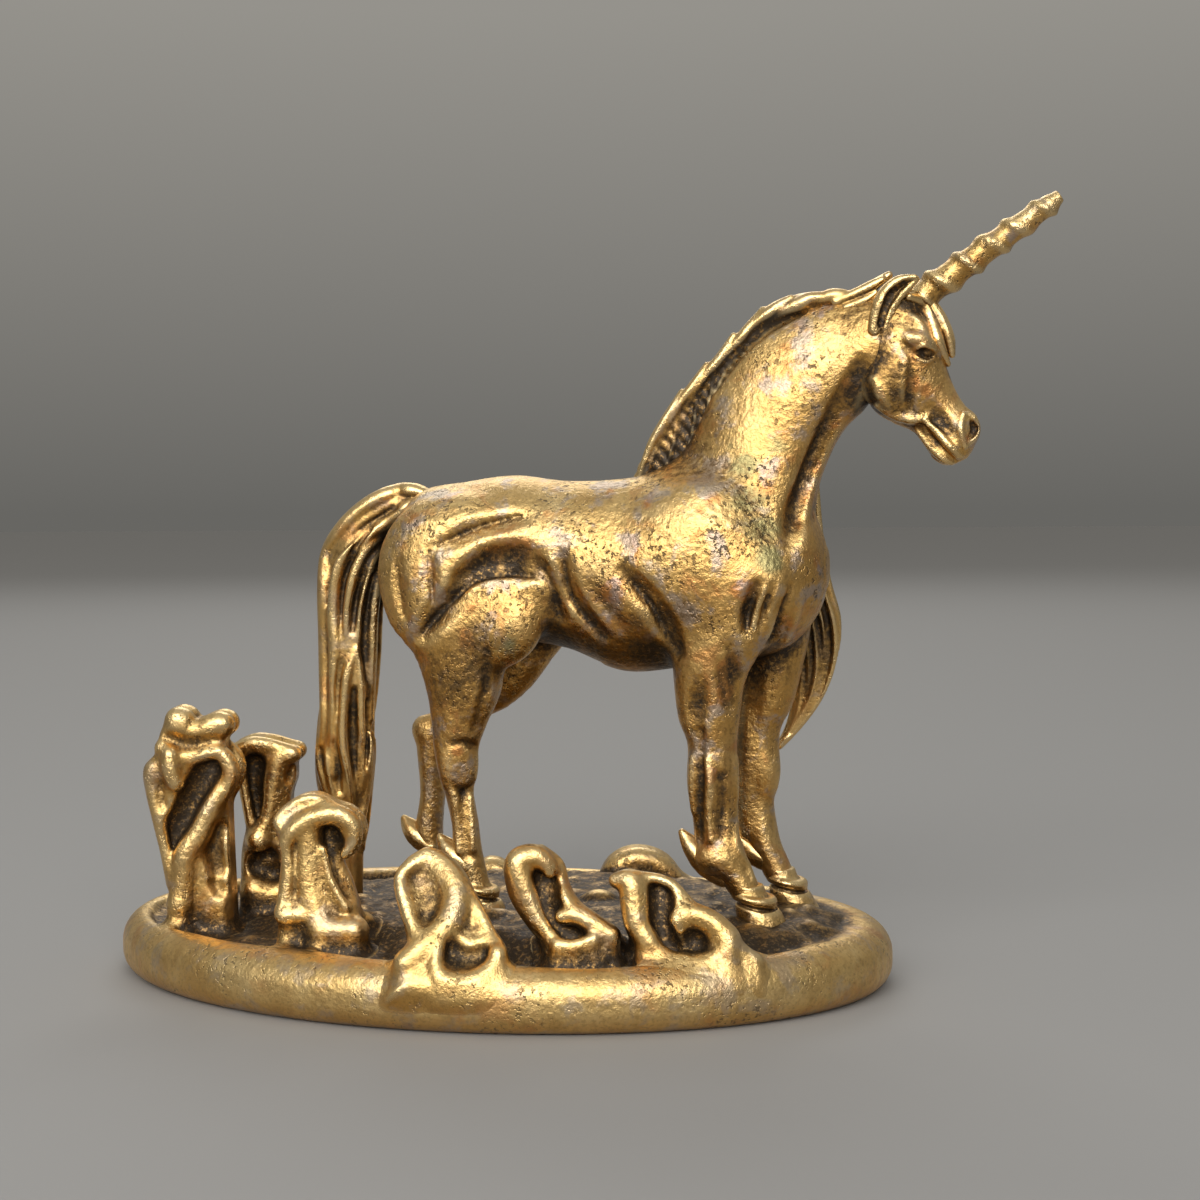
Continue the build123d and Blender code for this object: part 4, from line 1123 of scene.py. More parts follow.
def grow(name, paths, nodes, material, slot, **values):
    """Grows strands round paths; a path is rows of place, deep vector, wide vector, thickness."""
    guide = bpy.data.meshes.new(name + "_paths")
    rows = np.vstack(paths)
    edges = []
    first = 0
    for path in paths:
        edges += [(first + i, first + i + 1) for i in range(len(path) - 1)]
        first += len(path)
    guide.from_pydata(rows[:, :3].tolist(), edges, [])
    guide.attributes.new("deep", "FLOAT_VECTOR", "POINT").data.foreach_set("vector", rows[:, 3:6].ravel())
    guide.attributes.new("wide", "FLOAT_VECTOR", "POINT").data.foreach_set("vector", rows[:, 6:9].ravel())
    guide.attributes.new("thick", "FLOAT", "POINT").data.foreach_set("value", rows[:, 9])
    holder = bpy.data.objects.new(name + "_paths", guide)
    bpy.context.collection.objects.link(holder)
    growth = holder.modifiers.new("strands", "NODES")
    growth.node_group = STRANDS
    growth[STRAND_IDS["Material"]] = material
    for key, value in values.items():
        growth[STRAND_IDS[key]] = value
    ready = holder.evaluated_get(bpy.context.evaluated_depsgraph_get())
    mesh = bpy.data.meshes.new_from_object(ready)
    bpy.data.objects.remove(holder)
    bpy.data.meshes.remove(guide)
    return cast(name, mesh, material, nodes)


def swept_path(points, halves, across, thick, count):
    """Path rows: across is the wide direction at each point; halves hold half deep and half wide there."""
    across = np.broadcast_to(np.array(across, float), (len(points), 3))
    run = run_through(np.column_stack([points, halves, np.broadcast_to(thick, len(points)), across]), count)
    place = run[:, :3]
    ahead = np.gradient(place, axis=0)
    wide = run[:, 6:9] / np.linalg.norm(run[:, 6:9], axis=1)[:, None]
    deep = np.cross(wide, ahead)
    deep /= np.linalg.norm(deep, axis=1)[:, None]
    t = run[:, 5]
    return np.column_stack([place, deep * np.maximum(run[:, 3] - t, 0.02)[:, None],
                            wide * np.maximum(run[:, 4] - t, 0.02)[:, None], t])


# Sections of the tail: x, z, half depth, half width.
TAIL = [
    (-4.8, 31.2, 0.8, 0.8), (-7.2, 31.6, 1.2, 1.2), (-9.3, 29.8, 1.9, 1.6), (-10.3, 26.6, 2.3, 1.8),
    (-10.4, 23.2, 2.1, 1.8), (-10.6, 19.6, 2.05, 1.8), (-11.0, 16.2, 2.2, 1.8), (-11.2, 13.0, 2.15, 1.7),
    (-11.1, 10.2, 1.6, 1.4), (-10.7, 7.2, 1.0, 1.0), (-10.4, 4.2, 0.6, 0.6),
]
# Strands and gaps of the tail, drawn over the photograph: radius and pixels.
TAIL_STRANDS = [
    (0.62, [(432, 497), (412, 491), (385, 496), (360, 511), (340, 532), (328, 555), (325, 588), (326, 635),
            (325, 676), (324, 714), (322, 745)]),
    (0.55, [(432, 507), (412, 505), (388, 521), (364, 537), (344, 555), (335, 579), (333, 611), (335, 640),
            (335, 670), (334, 700), (332, 735), (334, 775)]),
    (0.4, [(398, 522), (376, 538), (362, 556), (352, 580), (347, 605), (345, 635)]),
    (0.34, [(385, 540), (372, 560), (365, 585), (361, 612), (358, 640)]),
    (0.34, [(380, 560), (376, 590), (373, 620), (372, 655), (371, 690), (371, 720)]),
    (0.36, [(356, 649), (348, 670), (344, 694), (342, 723), (343, 749), (349, 776), (352, 800), (356, 825)]),
    (0.36, [(356, 649), (360, 676), (361, 705), (362, 729), (365, 752), (362, 782), (358, 808)]),
    (0.34, [(373, 729), (371, 755), (368, 788), (365, 823), (362, 850)]),
    (0.34, [(318, 740), (320, 765), (326, 795)]), (0.3, [(327, 742), (328, 765), (333, 795)]),
]
TAIL_GAPS = [
    (0.2, [(397, 508), (371, 525), (351, 541), (336, 558), (330, 582), (329, 608)]),
    (0.2, [(372, 530), (356, 548), (346, 572), (341, 605), (340, 635)]),
    (0.22, [(366, 572), (357, 600), (352, 632)]),
    (0.22, [(373, 575), (367, 605), (365, 640), (366, 680)]), (0.2, [(340, 660), (338, 690), (338, 720)]),
    (0.22, [(354, 690), (353, 730), (355, 788)]), (0.2, [(334, 742), (336, 767), (340, 792)]),
    (0.2, [(367, 700), (368, 740), (366, 770)]),
]

# Spots of the tail's soot and painted shade: pixel, radius, amount.
TAIL_SOOT_AND_SHADE = [
    ((366, 560), 1.5, 0.8), ((372, 590), 1.6, 0.9), ((364, 620), 1.5, 0.9), ((370, 650), 1.6, 0.9),
    ((368, 690), 1.5, 0.8), ((354, 710), 1.0, 0.9), ((354, 760), 1.1, 0.9), ((317, 760), 1.2, 0.9),
    ((337, 770), 0.9, 0.9), ((352, 600), 1.2, 0.6), ((362, 800), 1.5, 0.8), ((360, 830), 1.5, 0.9),
    ((368, 740), 1.2, 0.8), ((345, 560), 1.0, 0.4),
]
TAIL_BLUSH = [((326, 690), 1.2, 0.9), ((331, 740), 1.2, 0.9), ((350, 530), 1.2, 0.8), ((340, 600), 1.0, 0.7)]


def tapered(radius, count):
    """Radii that swell from a thin root and end thin."""
    return radius * np.interp(np.linspace(0, 1, count), [0, 0.12, 0.7, 1], [0.6, 1, 1, 0.45])


def model_tail():
    """Tail with strands on both sides and gaps between them."""
    wax = Wax((-14.6, -3.2, 3.0), (-3.4, 3.2, 34.0), voxel=0.11)
    line = np.array([(x, z) for x, z, _, _ in TAIL])
    ahead = np.gradient(line, axis=0)
    across = np.column_stack([ahead[:, 1], -ahead[:, 0]]) / np.linalg.norm(ahead, axis=1)[:, None]
    core = [(*(at + 0.9 * deep * way), *(at - 0.9 * deep * way), 0, 0.85 * wide)
            for at, way, (_, _, deep, wide) in zip(line, across, TAIL)]
    wax.form(core, soft=0.2)
    strands = [(radius, wax.seen(pixels)) for radius, pixels in TAIL_STRANDS]
    gaps = [(radius, wax.seen(pixels)) for radius, pixels in TAIL_GAPS]
    for radius, near in gaps:
        for way in (1, -1):
            wax.rod(near * np.array([1, way, 1]), tapered(1.6 * radius, len(near)), soft=0.15, carve=True)
    for radius, near in strands:
        for way in (1, -1):
            inward = np.array([0, 0.3 * radius * way, 0])
            wax.rod(near * np.array([1, way, 1]) + inward, tapered(radius, len(near)), soft=0.12)
    for radius, near in gaps:
        for way in (1, -1):
            lift = np.array([0, -0.15 * way, 0])
            wax.rod(near * np.array([1, way, 1]) + lift, tapered(1.1 * radius, len(near)), soft=0.1,
                    carve=True)
    wax.ease(1)
    SOOT_AND_SHADE["tail"] = wax.spots(TAIL_SOOT_AND_SHADE)
    BLUSH["tail"] = wax.spots(TAIL_BLUSH)
    return wax


pour("tail", model_tail(), HAIR_BRASS, ["tail"])

# Locks of the far side: points, half width, and the run of the crest where the lock grows from it.
LOCKS = [
    ([(14.6, 1.4, 37.5), (13.6, 3.6, 34.6), (12.6, 5.0, 31.0), (12.4, 5.9, 27.6), (11.6, 6.2, 24.8)], 2.3,
     (0.41, 0, 0.91)),
    ([(16.2, 1.3, 40.1), (16.0, 3.4, 37.4), (15.6, 4.6, 33.4), (15.8, 5.6, 29.0), (16.2, 6.0, 25.4),
      (15.6, 6.2, 22.2)], 2.5, (0.62, 0, 0.78)),
    ([(18.6, 1.3, 42.2), (18.9, 3.2, 39.8), (19.2, 4.2, 35.6), (19.2, 5.0, 31.0), (19.6, 5.8, 27.0),
      (20.7, 6.6, 23.0), (20.7, 7.0, 19.4), (19.6, 7.0, 16.6), (18.3, 6.8, 14.8)], 2.4, (0.87, 0, 0.49)),
    ([(21.8, 1.3, 43.4), (21.8, 2.9, 41.4), (21.0, 3.5, 38.6), (20.6, 3.8, 35.6), (19.6, 4.2, 32.8)], 1.6,
     (0.97, 0, 0.25)),
]

# Strands on each face of a lock, rows along it, and ropes in its core.
LOCK_STRANDS = 8
LOCK_ROWS = 16
LOCK_CORES = 7


def model_lock(points, half, crest_run, phase):
    """Flat lock: a core of ropes, and strands that sway over both faces with gaps between them."""
    share = np.linspace(0, 1, len(points))
    halves = [(0.8 - 0.35 * s, half * np.interp(s, [0, 0.3, 0.6, 1], [0.9, 1, 0.85, 0.1])) for s in share]
    level = np.clip(share / 0.4, 0, 1)[:, None]
    across = (1 - level) * np.array(crest_run) + level * np.array([1.0, 0, 0])
    rows = swept_path(points, halves, across, np.interp(share, [0, 1], [0.36, 0.22]), LOCK_ROWS)
    place, deep, wide, thick = rows[:, :3], rows[:, 3:6], rows[:, 6:9], rows[:, 9]
    flat = np.linalg.norm(deep, axis=1)
    reach = np.abs(deep) + np.abs(wide) + thick[:, None] + 0.5
    wax = Wax((place - reach).min(0), (place + reach).max(0), voxel=0.11)
    s = np.linspace(0, 1, len(place))
    core = (0.75 * flat + 0.3 * thick) * np.interp(s, [0.8, 1], [1, 0.5])
    for offset in np.linspace(-0.8, 0.8, LOCK_CORES):
        wax.rod(place + offset * wide, core, soft=0.3)

    def laid(offset, face, swing, end):
        """Line along one face of the lock that sways over its width and stops at a share of its length."""
        line = offset + 0.13 * np.sin(2 * math.pi * (1.2 * s + swing)) * np.minimum(3 * s, 1)
        bulge = np.sqrt(np.maximum(1 - 0.85 * line ** 2, 0.1))
        keep = max(int(round(end * (len(s) - 1))), 3) + 1
        return (place + line[:, None] * wide + (face * bulge)[:, None] * deep)[:keep], thick[:keep]

    for face in (-1, 1):
        for k, offset in enumerate(np.linspace(-0.96, 0.96, LOCK_STRANDS)):
            swing = 0.37 * k + phase + 0.2 * face
            path, size = laid(offset, face, swing, 1 - 0.12 * (k % 3))
            pointed = np.interp(np.linspace(0, 1, len(path)), [0.75, 1], [1, 0.6])
            uneven = 1.0 + 0.3 * math.sin(2.4 * k + phase)
            wax.rod(path, tapered(1.0, len(path)) * size * pointed * uneven, soft=0.08)
        for k, offset in enumerate(np.linspace(-0.82, 0.82, LOCK_STRANDS - 1)):
            path, size = laid(offset, 1.35 * face, 0.37 * k + 0.18 + phase + 0.2 * face, 0.9)
            wax.rod(path, tapered(0.75, len(path)) * size, soft=0.06, carve=True)
    wax.ease(1)
    return wax


for number, lock in enumerate(LOCKS, 1):
    name = f"mane_lock_{number}"
    pour(name, model_lock(*lock, 0.6 * number), HAIR_BRASS, [name])


# Crest: a bright lumpy edge over a ribbed web that stands on the neck, with a tuft at the poll. Edge and root
# are drawn over the photograph in pixels.

CREST_EDGE = [
    (634, 482), (646, 453), (662, 426), (681, 400), (701, 375), (720, 353), (740, 336), (753, 321),
    (763, 311), (776, 304), (790, 298), (807, 294), (825, 295), (837, 292), (852, 292), (866, 288),
]
CREST_ROOT = [
    (638, 490), (664, 476), (688, 456), (704, 428), (716, 394), (730, 368), (748, 348), (763, 335),
    (773, 326), (783, 320), (796, 313), (810, 308), (824, 304), (837, 302), (852, 301), (866, 299),
]
CREST_STEPS = 46

# Strands of the crest: pixels and radii.
CREST_STRANDS = [
    ([(640, 474), (652, 444), (666, 420), (682, 392)], [0.2, 0.32, 0.36, 0.22]),
    ([(662, 436), (680, 404), (694, 386), (707, 365)], [0.2, 0.34, 0.38, 0.22]),
    ([(688, 404), (706, 376), (721, 358), (734, 336)], [0.2, 0.36, 0.4, 0.24]),
    ([(712, 376), (732, 349), (746, 333), (763, 310)], [0.2, 0.36, 0.42, 0.24]),
    ([(740, 342), (757, 323), (775, 310), (791, 298)], [0.2, 0.42, 0.5, 0.22]),
    ([(760, 328), (783, 312), (803, 303), (820, 295)], [0.2, 0.45, 0.52, 0.22]),
    ([(785, 310), (805, 300), (822, 298), (837, 294)], [0.2, 0.42, 0.42, 0.2]),
    ([(816, 303), (830, 297), (846, 297), (856, 300)], [0.25, 0.52, 0.45, 0.2]),
]


# Tuft at the poll: start of its upper strands, which end at their own sides and tips, and its lower strands.
TUFT_UPPER = [(836, 302), (856, 294), (872, 286)]
TUFT_TIPS = [(-0.5, (882, 280)), (-0.15, (889, 275)), (0.2, (886, 277)), (0.55, (880, 281))]
TUFT_LOWER = [(846, 308), (864, 301), (876, 293)]


def model_crest():
    """Web of the crest with ribs, strands, and the tuft at the poll."""
    wax = Wax((7.4, -1.7, 31.0), (28.0, 1.7, 47.4), voxel=0.1)
    edge, root = (run_through(on_plane(line), CREST_STEPS) for line in (CREST_EDGE, CREST_ROOT))
    inner = edge + 0.36 * (root - edge) / np.linalg.norm(root - edge, axis=1)[:, None]
    for k in range(CREST_STEPS):
        wax.rod([inner[k], root[k]], 0.42, soft=0.2)
    wax.rod(inner, 0.36, soft=0.25)
    for k in range(5, CREST_STEPS, 3):
        for way in (-1, 1):
            out = np.array([0, way, 0])
            middle = (inner[k] + root[k - 4]) / 2
            rib = [inner[k] + 0.22 * out, middle + 0.36 * out, root[k - 5] + 0.34 * out]
            wax.rod(rib, [0.16, 0.12, 0.08], soft=0.15)
    for pixels, radii in CREST_STRANDS:
        for side in (-0.28, 0.28):
            wax.rod(on_plane(pixels, side), radii, soft=0.08)
    for side, tip in TUFT_TIPS:
        wax.rod(on_plane(TUFT_UPPER + [tip], side), [0.34, 0.38, 0.38, 0.26], soft=0.08)
        wax.rod(on_plane(TUFT_LOWER, 1.2 * side), [0.34, 0.36, 0.2], soft=0.08)
    foot = (0.2 * edge + 0.8 * root)[:30]
    SOOT_AND_SHADE["mane_crest"] = [(at + np.array([0, side, 0]), 1.3, 1.4) for at in foot for side in (-0.5, 0.5)]
    return wax


pour("mane_crest", model_crest(), HAIR_BRASS, ["mane_crest"])


# Forelock: strands that hang over the brow, set on the head. Those of both sides are drawn over the
# photograph as pixels and radii, and one lies in the middle.

FORELOCK_SIDES = [
    ([(909, 297), (923, 303), (931, 320), (938, 342), (948, 364)], [0.3, 0.42, 0.42, 0.38, 0.16]),
    ([(926, 296), (939, 316), (948, 337), (952, 355)], [0.3, 0.4, 0.38, 0.18]),
]
FORELOCK_MIDDLE = ([(28.6, 0, 44.9), (29.2, 0, 43.6), (29.7, 0, 42.0), (29.95, 0, 40.6)],
                   [0.3, 0.4, 0.4, 0.2])
FORELOCK_LIFT = 0.18
ROPE_ROWS = 60


def rope(points, radii):
    """Path rows of one plain rope with a radius at each point."""
    run = run_through(np.column_stack([points, radii]), ROPE_ROWS)
    return np.column_stack([run[:, :3], np.zeros((ROPE_ROWS, 6)), run[:, 3]])


forelock_ropes = []
for pixels, radii in FORELOCK_SIDES:
    lying = head_wax.seen(pixels, FORELOCK_LIFT)
    forelock_ropes += [rope(lying, radii), rope(lying * FLIP, radii)]
forelock_ropes.append(rope(*FORELOCK_MIDDLE))
grow("forelock", forelock_ropes, ["forelock"], HAIR_BRASS, "hair_brass", Strands=1, Fillers=2, Voxel=0.07,
     Smooth=2)


# Fetlock tufts: height of the fetlock and of the root, and how far a tuft reaches on fore and hind legs.

FETLOCK = 8.9
TUFT_ROOT = 7.6
TUFT_REACH = {"fore": 1.0, "hind": 0.72}

# Half depth and half width along a tuft, radius of its strands, and rows along it.
TUFT_HALVES = [(0.9, 0.9), (0.95, 0.85), (0.75, 0.6), (0.22, 0.2)]
TUFT_THICK = [0.5, 0.5, 0.4, 0.18]
TUFT_ROWS = 24

for name, (side, stations) in LEGS.items():
    label = "tuft_" + name.replace("leg", "")
    x = np.interp(FETLOCK, [z for z, *_ in stations[::-1]], [row[1] for row in stations[::-1]])
    reach = TUFT_REACH[name[:4]]
    points = [(x + 0.2, side, TUFT_ROOT), (x - 0.9 * reach, side, TUFT_ROOT + 0.6),
              (x - 1.9 * reach, side, TUFT_ROOT + 1.6 * reach),
              (x - 2.7 * reach, side, TUFT_ROOT + 2.7 * reach)]
    path = swept_path(points, TUFT_HALVES, (0, 1, 0), TUFT_THICK, TUFT_ROWS)
    grow(label, [path], [label], HAIR_BRASS, "hair_brass", Strands=5, Twist=0.2, Wander=0.3, Fillers=3,
         Voxel=0.08, Seed=4, Smooth=3)


# Horn: flared rings that wind up it.

HORN_ROOT, HORN_TIP = np.array([29.0, 0, 45.1]), np.array([37.1, 0, 50.7])
HORN_PITCH = 1.9

# Radius from the buried root to the tip, how deep the root lies, and the shares of the radius that the horn
# has between its rings and gains on them.
HORN_RADII = [0.5, 1.1, 1.14, 0.95, 0.78, 0.42]
HORN_DEPTH = 1.5
HORN_CORE = 0.80
HORN_RING = 0.23


def model_horn():
    """Tapered horn with a winding ring, rooted in the brow."""
    wax = Wax((26.6, -1.7, 42.8), (38.2, 1.7, 52.0), voxel=0.075)
    cut, axes = wax.window(wax.low, wax.low + wax.size * wax.voxel)
    x, y, z = np.meshgrid(*axes, indexing="ij")
    length = np.linalg.norm(HORN_TIP - HORN_ROOT)
    ahead = (HORN_TIP - HORN_ROOT) / length
    up = np.array([-ahead[2], 0, ahead[0]])
    s = (x - HORN_ROOT[0]) * ahead[0] + (z - HORN_ROOT[2]) * ahead[2]
    v = (x - HORN_ROOT[0]) * up[0] + (z - HORN_ROOT[2]) * up[2]
    round_it = np.arctan2(v, y)
    turn = 2 * math.pi * s / HORN_PITCH - round_it + 0.35 * np.sin(2.2 * s)
    ring = (0.5 + 0.5 * np.cos(turn + 0.7 * np.sin(turn))) ** 0.9
    size = np.interp(s, [-1.6, -0.5, 0.0, 0.6 * length, 0.92 * length, length], HORN_RADII)
    d = 0.85 * (np.sqrt(v * v + y * y) - size * (HORN_CORE + HORN_RING * ring))
    d = np.maximum(np.maximum(d, s - length), -HORN_DEPTH - s)
    wax.lay(cut, d.astype(np.float32), soft=0)
    return wax


pour("horn", model_horn(), FIGURE_BRASS, ["horn"])


# Hooves.

def model_hoof(side, stations):
    """Hoof under the last section of a leg, with a swollen edge over a groove."""
    _, x, deep, wide = stations[-1]
    wax = Wax((x - 2.2, side - 2.2, 3.9), (x + 2.9, side + 2.2, 7.2), voxel=0.09)
    wax.form([(x + deep - 0.3, 7.0, x - deep - 0.3, 7.0, side, wide),
              (x + deep, 6.3, x - deep, 6.3, side, wide * 1.08),
              (x + 0.4 + deep * 1.25, 5.5, x + 0.2 - deep * 1.1, 5.5, side, wide * 1.25),
              (x + 0.9 + deep * 1.5, 4.2, x + 0.4 - deep * 1.15, 4.2, side, wide * 1.45)], soft=0.1)
    turn = np.linspace(0, 2 * math.pi, 17)
    ring = np.column_stack([x + 0.15 + deep * 1.12 * np.cos(turn), side + wide * 1.16 * np.sin(turn),
                            6.2 - 0.25 * np.cos(turn)])
    wax.rod(ring, 0.2 + 0.12 * np.cos(turn), soft=0.25)
    wax.rod(ring + np.array([0.2, 0, -0.5]), 0.12, soft=0.15, carve=True)
    return wax


for name, (side, stations) in LEGS.items():
    label = "hoof_" + name.replace("leg", "")
    pour(label, model_hoof(side, stations), FIGURE_BRASS, [label])


# Base with its pool and mound.

# Half sizes of the oval, heights of the mound and the pool.
BASE_HALF = (26.6, 17.4)
GROUND = 4.9
POOL = 3.2

# Rim: half its height, its width, and the radius of its upper and lower edge.
RIM_MIDDLE = 2.0
RIM_WIDTH = 1.9
RIM_TURNS = (1.9, 1.5)

# Soot fades in over this width inside the rim. Below this height the rim is painted lighter than other
# pieces, a painted reflection.
RIM_FADE = 1.4
RIM_UNDER = 2.3
RIM_UNDER_PAINTED_LIGHT = -0.35

# Mound: x of its middle and half sizes; where its foot lies and how wide its slope is, in shares of them.
MOUND_X = 4.0
MOUND_HALF = (22.0, 13.0)
MOUND_FOOT = 1.05
MOUND_SLOPE = 0.32

# Moat inside the rim: how far in it begins, height of its floor, softness of its edge.
MOAT_INSET = 2.5
MOAT_FLOOR = 2.4
MOAT_SOFT = 0.7

# Underside of the ground in the moat, and softness where it meets the rim.
GROUND_UNDER = 0.3
GROUND_SOFT = 0.5

# Ripples of the pool: length, direction in degrees, phase, height.
RIPPLES = [
    (6.1, 20, 0.3, 0.10), (4.3, 75, 1.9, 0.08), (3.4, 140, 4.0, 0.07), (2.6, 50, 2.2, 0.06),
    (2.1, 110, 5.1, 0.05), (1.6, 165, 0.9, 0.04), (1.3, 10, 3.3, 0.03),
]


def pool_height(x, y):
    """Height of the ground: the pool along the rim rises to the mound under the hooves, with ripples."""
    far = np.sqrt(((x - MOUND_X) / MOUND_HALF[0]) ** 2 + (y / MOUND_HALF[1]) ** 2)
    rise = np.clip((MOUND_FOOT - far) / MOUND_SLOPE, 0, 1)
    ground = POOL + (GROUND - POOL) * rise * rise * (3 - 2 * rise)
    bend = 0.6 * np.sin(x / 3.1 + 1.0) + 0.5 * np.cos(y / 2.3)
    for length, way, phase, high in RIPPLES:
        way = math.radians(way)
        along = x * math.cos(way) + y * math.sin(way) + bend
        ground = ground + high * np.sin(2 * math.pi * along / length + phase)
    return ground


def base_distance(x, y, z):
    """Distance to the plate: bullnose rim, pool and mound."""
    edge = oval_distance(x, y, *BASE_HALF)
    turn = np.where(z > RIM_MIDDLE, *RIM_TURNS)
    slab = rounded(edge, np.abs(z - RIM_MIDDLE) - RIM_MIDDLE, turn)
    bearing = np.arctan2(y / BASE_HALF[1], x / BASE_HALF[0])
    lip = MOAT_INSET + 0.5 * np.sin(3 * bearing + 1.0) + 0.3 * np.sin(x / 1.9) * np.cos(y / 2.3)
    slab = -melt(-slab, np.maximum(edge + lip, MOAT_FLOOR - z), MOAT_SOFT)
    ground = pool_height(x[:, :, :1], y[:, :, :1])
    filling = np.maximum(np.maximum(edge + RIM_WIDTH, 0.8 * (z - ground)), GROUND_UNDER - z)
    return melt(slab, filling, GROUND_SOFT)


# Foam lumps between the waves: pixel, half size.
FOAM = [((599, 899), 1.35), ((491, 914), 1.0), ((516, 905), 0.7), ((575, 893), 0.8), ((560, 880), 0.6)]


def model_base():
    """Plate with its rim, pool and mound, and foam."""
    wax = Wax((-27.6, -18.4, -0.9), (27.6, 18.4, 6.6), voxel=0.26)
    cut, axes = wax.window(wax.low, wax.low + wax.size * wax.voxel)
    wax.lay(cut, base_distance(*np.meshgrid(*axes, indexing="ij")).astype(np.float32), soft=0)
    for pixel, half in FOAM:
        ray = sight([pixel])[0]
        spot = LENS_PLACE + ray * (GROUND - LENS_PLACE[2]) / ray[2]
        wax.ball((spot[0], spot[1], GROUND - 0.4), (half, half * 0.8, half * 0.8), soft=0.4)
    return wax


def inside_rim(place):
    """How far places lie inside the polished rim, from none to all the way."""
    edge = oval_distance(place[:, 0], place[:, 1], *BASE_HALF)
    return np.clip((-RIM_WIDTH - edge) / RIM_FADE, 0, 1)


def pool_soot_and_rim_light(place):
    """Soot left over the pool and the mound; the underside of the rim is painted lighter than the rest, a
    painted reflection.
    """
    return np.where(place[:, 2] > RIM_UNDER, inside_rim(place), RIM_UNDER_PAINTED_LIGHT)


SOOT_AND_SHADE["base_plate"] = pool_soot_and_rim_light
pour("base_plate", model_base(), RIM_BRASS, ["base_plate"])


# Waves: thick curls on upright or leaning planes, as foot, lean in degrees, outline, half thickness.

CURLS = {
    "wave_tall": ((-19.8, -6.5, 3.8), 0, [
        (3.2, -1.2), (3.0, 4.8), (2.9, 9.0), (2.7, 11.9), (2.8, 13.3), (1.8, 14.0), (0.6, 13.6), (-0.6, 13.9),
        (-1.5, 13.0), (-1.8, 11.6), (-2.7, 10.5), (-2.6, 8.9), (-1.9, 6.0), (-1.0, 3.0), (-0.9, -1.2)], 1.7),
    "wave_column": ((-16.7, -1.7, 3.9), 0, [
        (2.5, -1.2), (2.6, 4.6), (2.3, 7.6), (2.7, 9.2), (2.4, 10.7), (0.8, 11.5), (-0.6, 11.4),
        (-1.4, 11.1), (-1.6, 10.4), (-1.1, 8.0), (-0.8, 6.0), (-1.2, 3.6), (-1.2, -1.2)], 1.5),
    "wave_tail": ((-9.0, -11.0, 3.6), 4, [
        (2.8, -1.2), (3.0, 1.6), (2.3, 4.2), (1.8, 5.6), (2.6, 7.4), (1.9, 8.8), (0.3, 9.8),
        (-1.2, 9.5), (-2.6, 8.2), (-2.2, 6.8), (-2.1, 5.5), (-2.3, 3.0), (-2.3, -1.2)], 1.5),
    "wave_rim": ((0.8, -15.9, 3.6), 30, [
        (3.0, -1.8), (3.7, 0.2), (3.5, 1.5), (2.5, 3.3), (1.4, 5.0), (0.5, 6.5), (-0.4, 7.3), (-1.3, 7.2),
        (-2.2, 6.6), (-2.8, 5.6), (-2.6, 4.1), (-2.1, 2.5), (-2.0, 1.2), (-2.3, -0.1), (-3.0, -1.8)], 1.1),
    "wave_belly": ((6.0, -12.5, 3.9), 15, [
        (4.4, -1.2), (4.6, 1.0), (3.0, 3.0), (1.8, 4.4), (1.2, 5.8), (0.2, 6.5), (-1.2, 6.4),
        (-2.0, 5.6), (-1.9, 4.2), (-1.4, 3.0), (-0.5, 1.7), (0.3, 0.6), (0.4, -1.2)], 1.3),
    "wave_front": ((13.5, -11.5, 3.9), 15, [
        (4.4, -1.4), (4.7, 0.4), (4.2, 1.6), (3.1, 2.6), (1.7, 3.7), (0.5, 4.5), (-1.2, 5.0), (-2.9, 5.0),
        (-2.4, 4.1), (-2.2, 2.9), (-1.6, 1.4), (-0.7, 0.4), (-0.4, -1.4)], 1.3),
    "wave_far_front": ((6.5, 12.8, 4.0), 0, [(4.6, -1.4), (2.9, 1.5), (0.4, 2.4), (-1.8, 1.4), (-3.0, -1.4)],
                       1.5),
    "wave_far_rear": ((-4.5, 13.0, 4.0), 0, [(2.0, -1.4), (1.5, 0.6), (0.1, 1.2), (-1.0, 0.5), (-1.6, -1.4)],
                      1.2),
}
WAVE_RIGHT = np.array([math.cos(LENS_TURN), math.sin(LENS_TURN), 0])

# Faces of the near waves, drawn over the photograph. Bowls are scooped out: pixels, radius, depth. Lips and
# balls are laid on: pixels, radius at each, distance before the face.
BOWLS = {
    "wave_tall": [
        ([(208, 769), (198, 787), (186, 811), (174, 834), (166, 858)], 0.95, 1.0),
        ([(217, 831), (214, 849), (218, 869)], 0.7, 0.8),
        ([(157, 787), (160, 805)], 0.4, 0.35), ([(168, 739), (190, 746), (217, 744)], 0.7, 0.35),
        ([(217, 884), (220, 890)], 0.5, 0.5),
    ],
    "wave_column": [
        ([(254, 766), (252, 790), (258, 816)], 0.8, 0.95), ([(293, 763), (291, 778)], 0.5, 0.7),
        ([(267, 858), (258, 866), (273, 872)], 0.8, 0.7),
    ],
    "wave_tail": [
        ([(326, 837), (332, 855), (341, 872), (350, 888)], 0.9, 1.1),
        ([(298, 846), (297, 866), (299, 890)], 0.5, 0.45),
        ([(285, 814), (297, 808), (311, 808)], 1.2, 0.4),
    ],
    "wave_rim": [
        ([(417, 878), (426, 896), (429, 913)], 1.2, 0.42), ([(449, 952), (464, 961), (482, 958)], 1.0, 0.6),
        ([(470, 919), (474, 926)], 1.5, 0.25),
    ],
    "wave_belly": [
        ([(544, 881), (544, 901), (552, 917), (569, 934)], 1.0, 1.2), ([(561, 934), (583, 938)], 0.7, 0.7),
    ],
    "wave_front": [
        ([(661, 889), (661, 912), (663, 934), (672, 950)], 0.8, 1.1), ([(694, 942), (697, 953)], 0.8, 0.8),
    ],
}
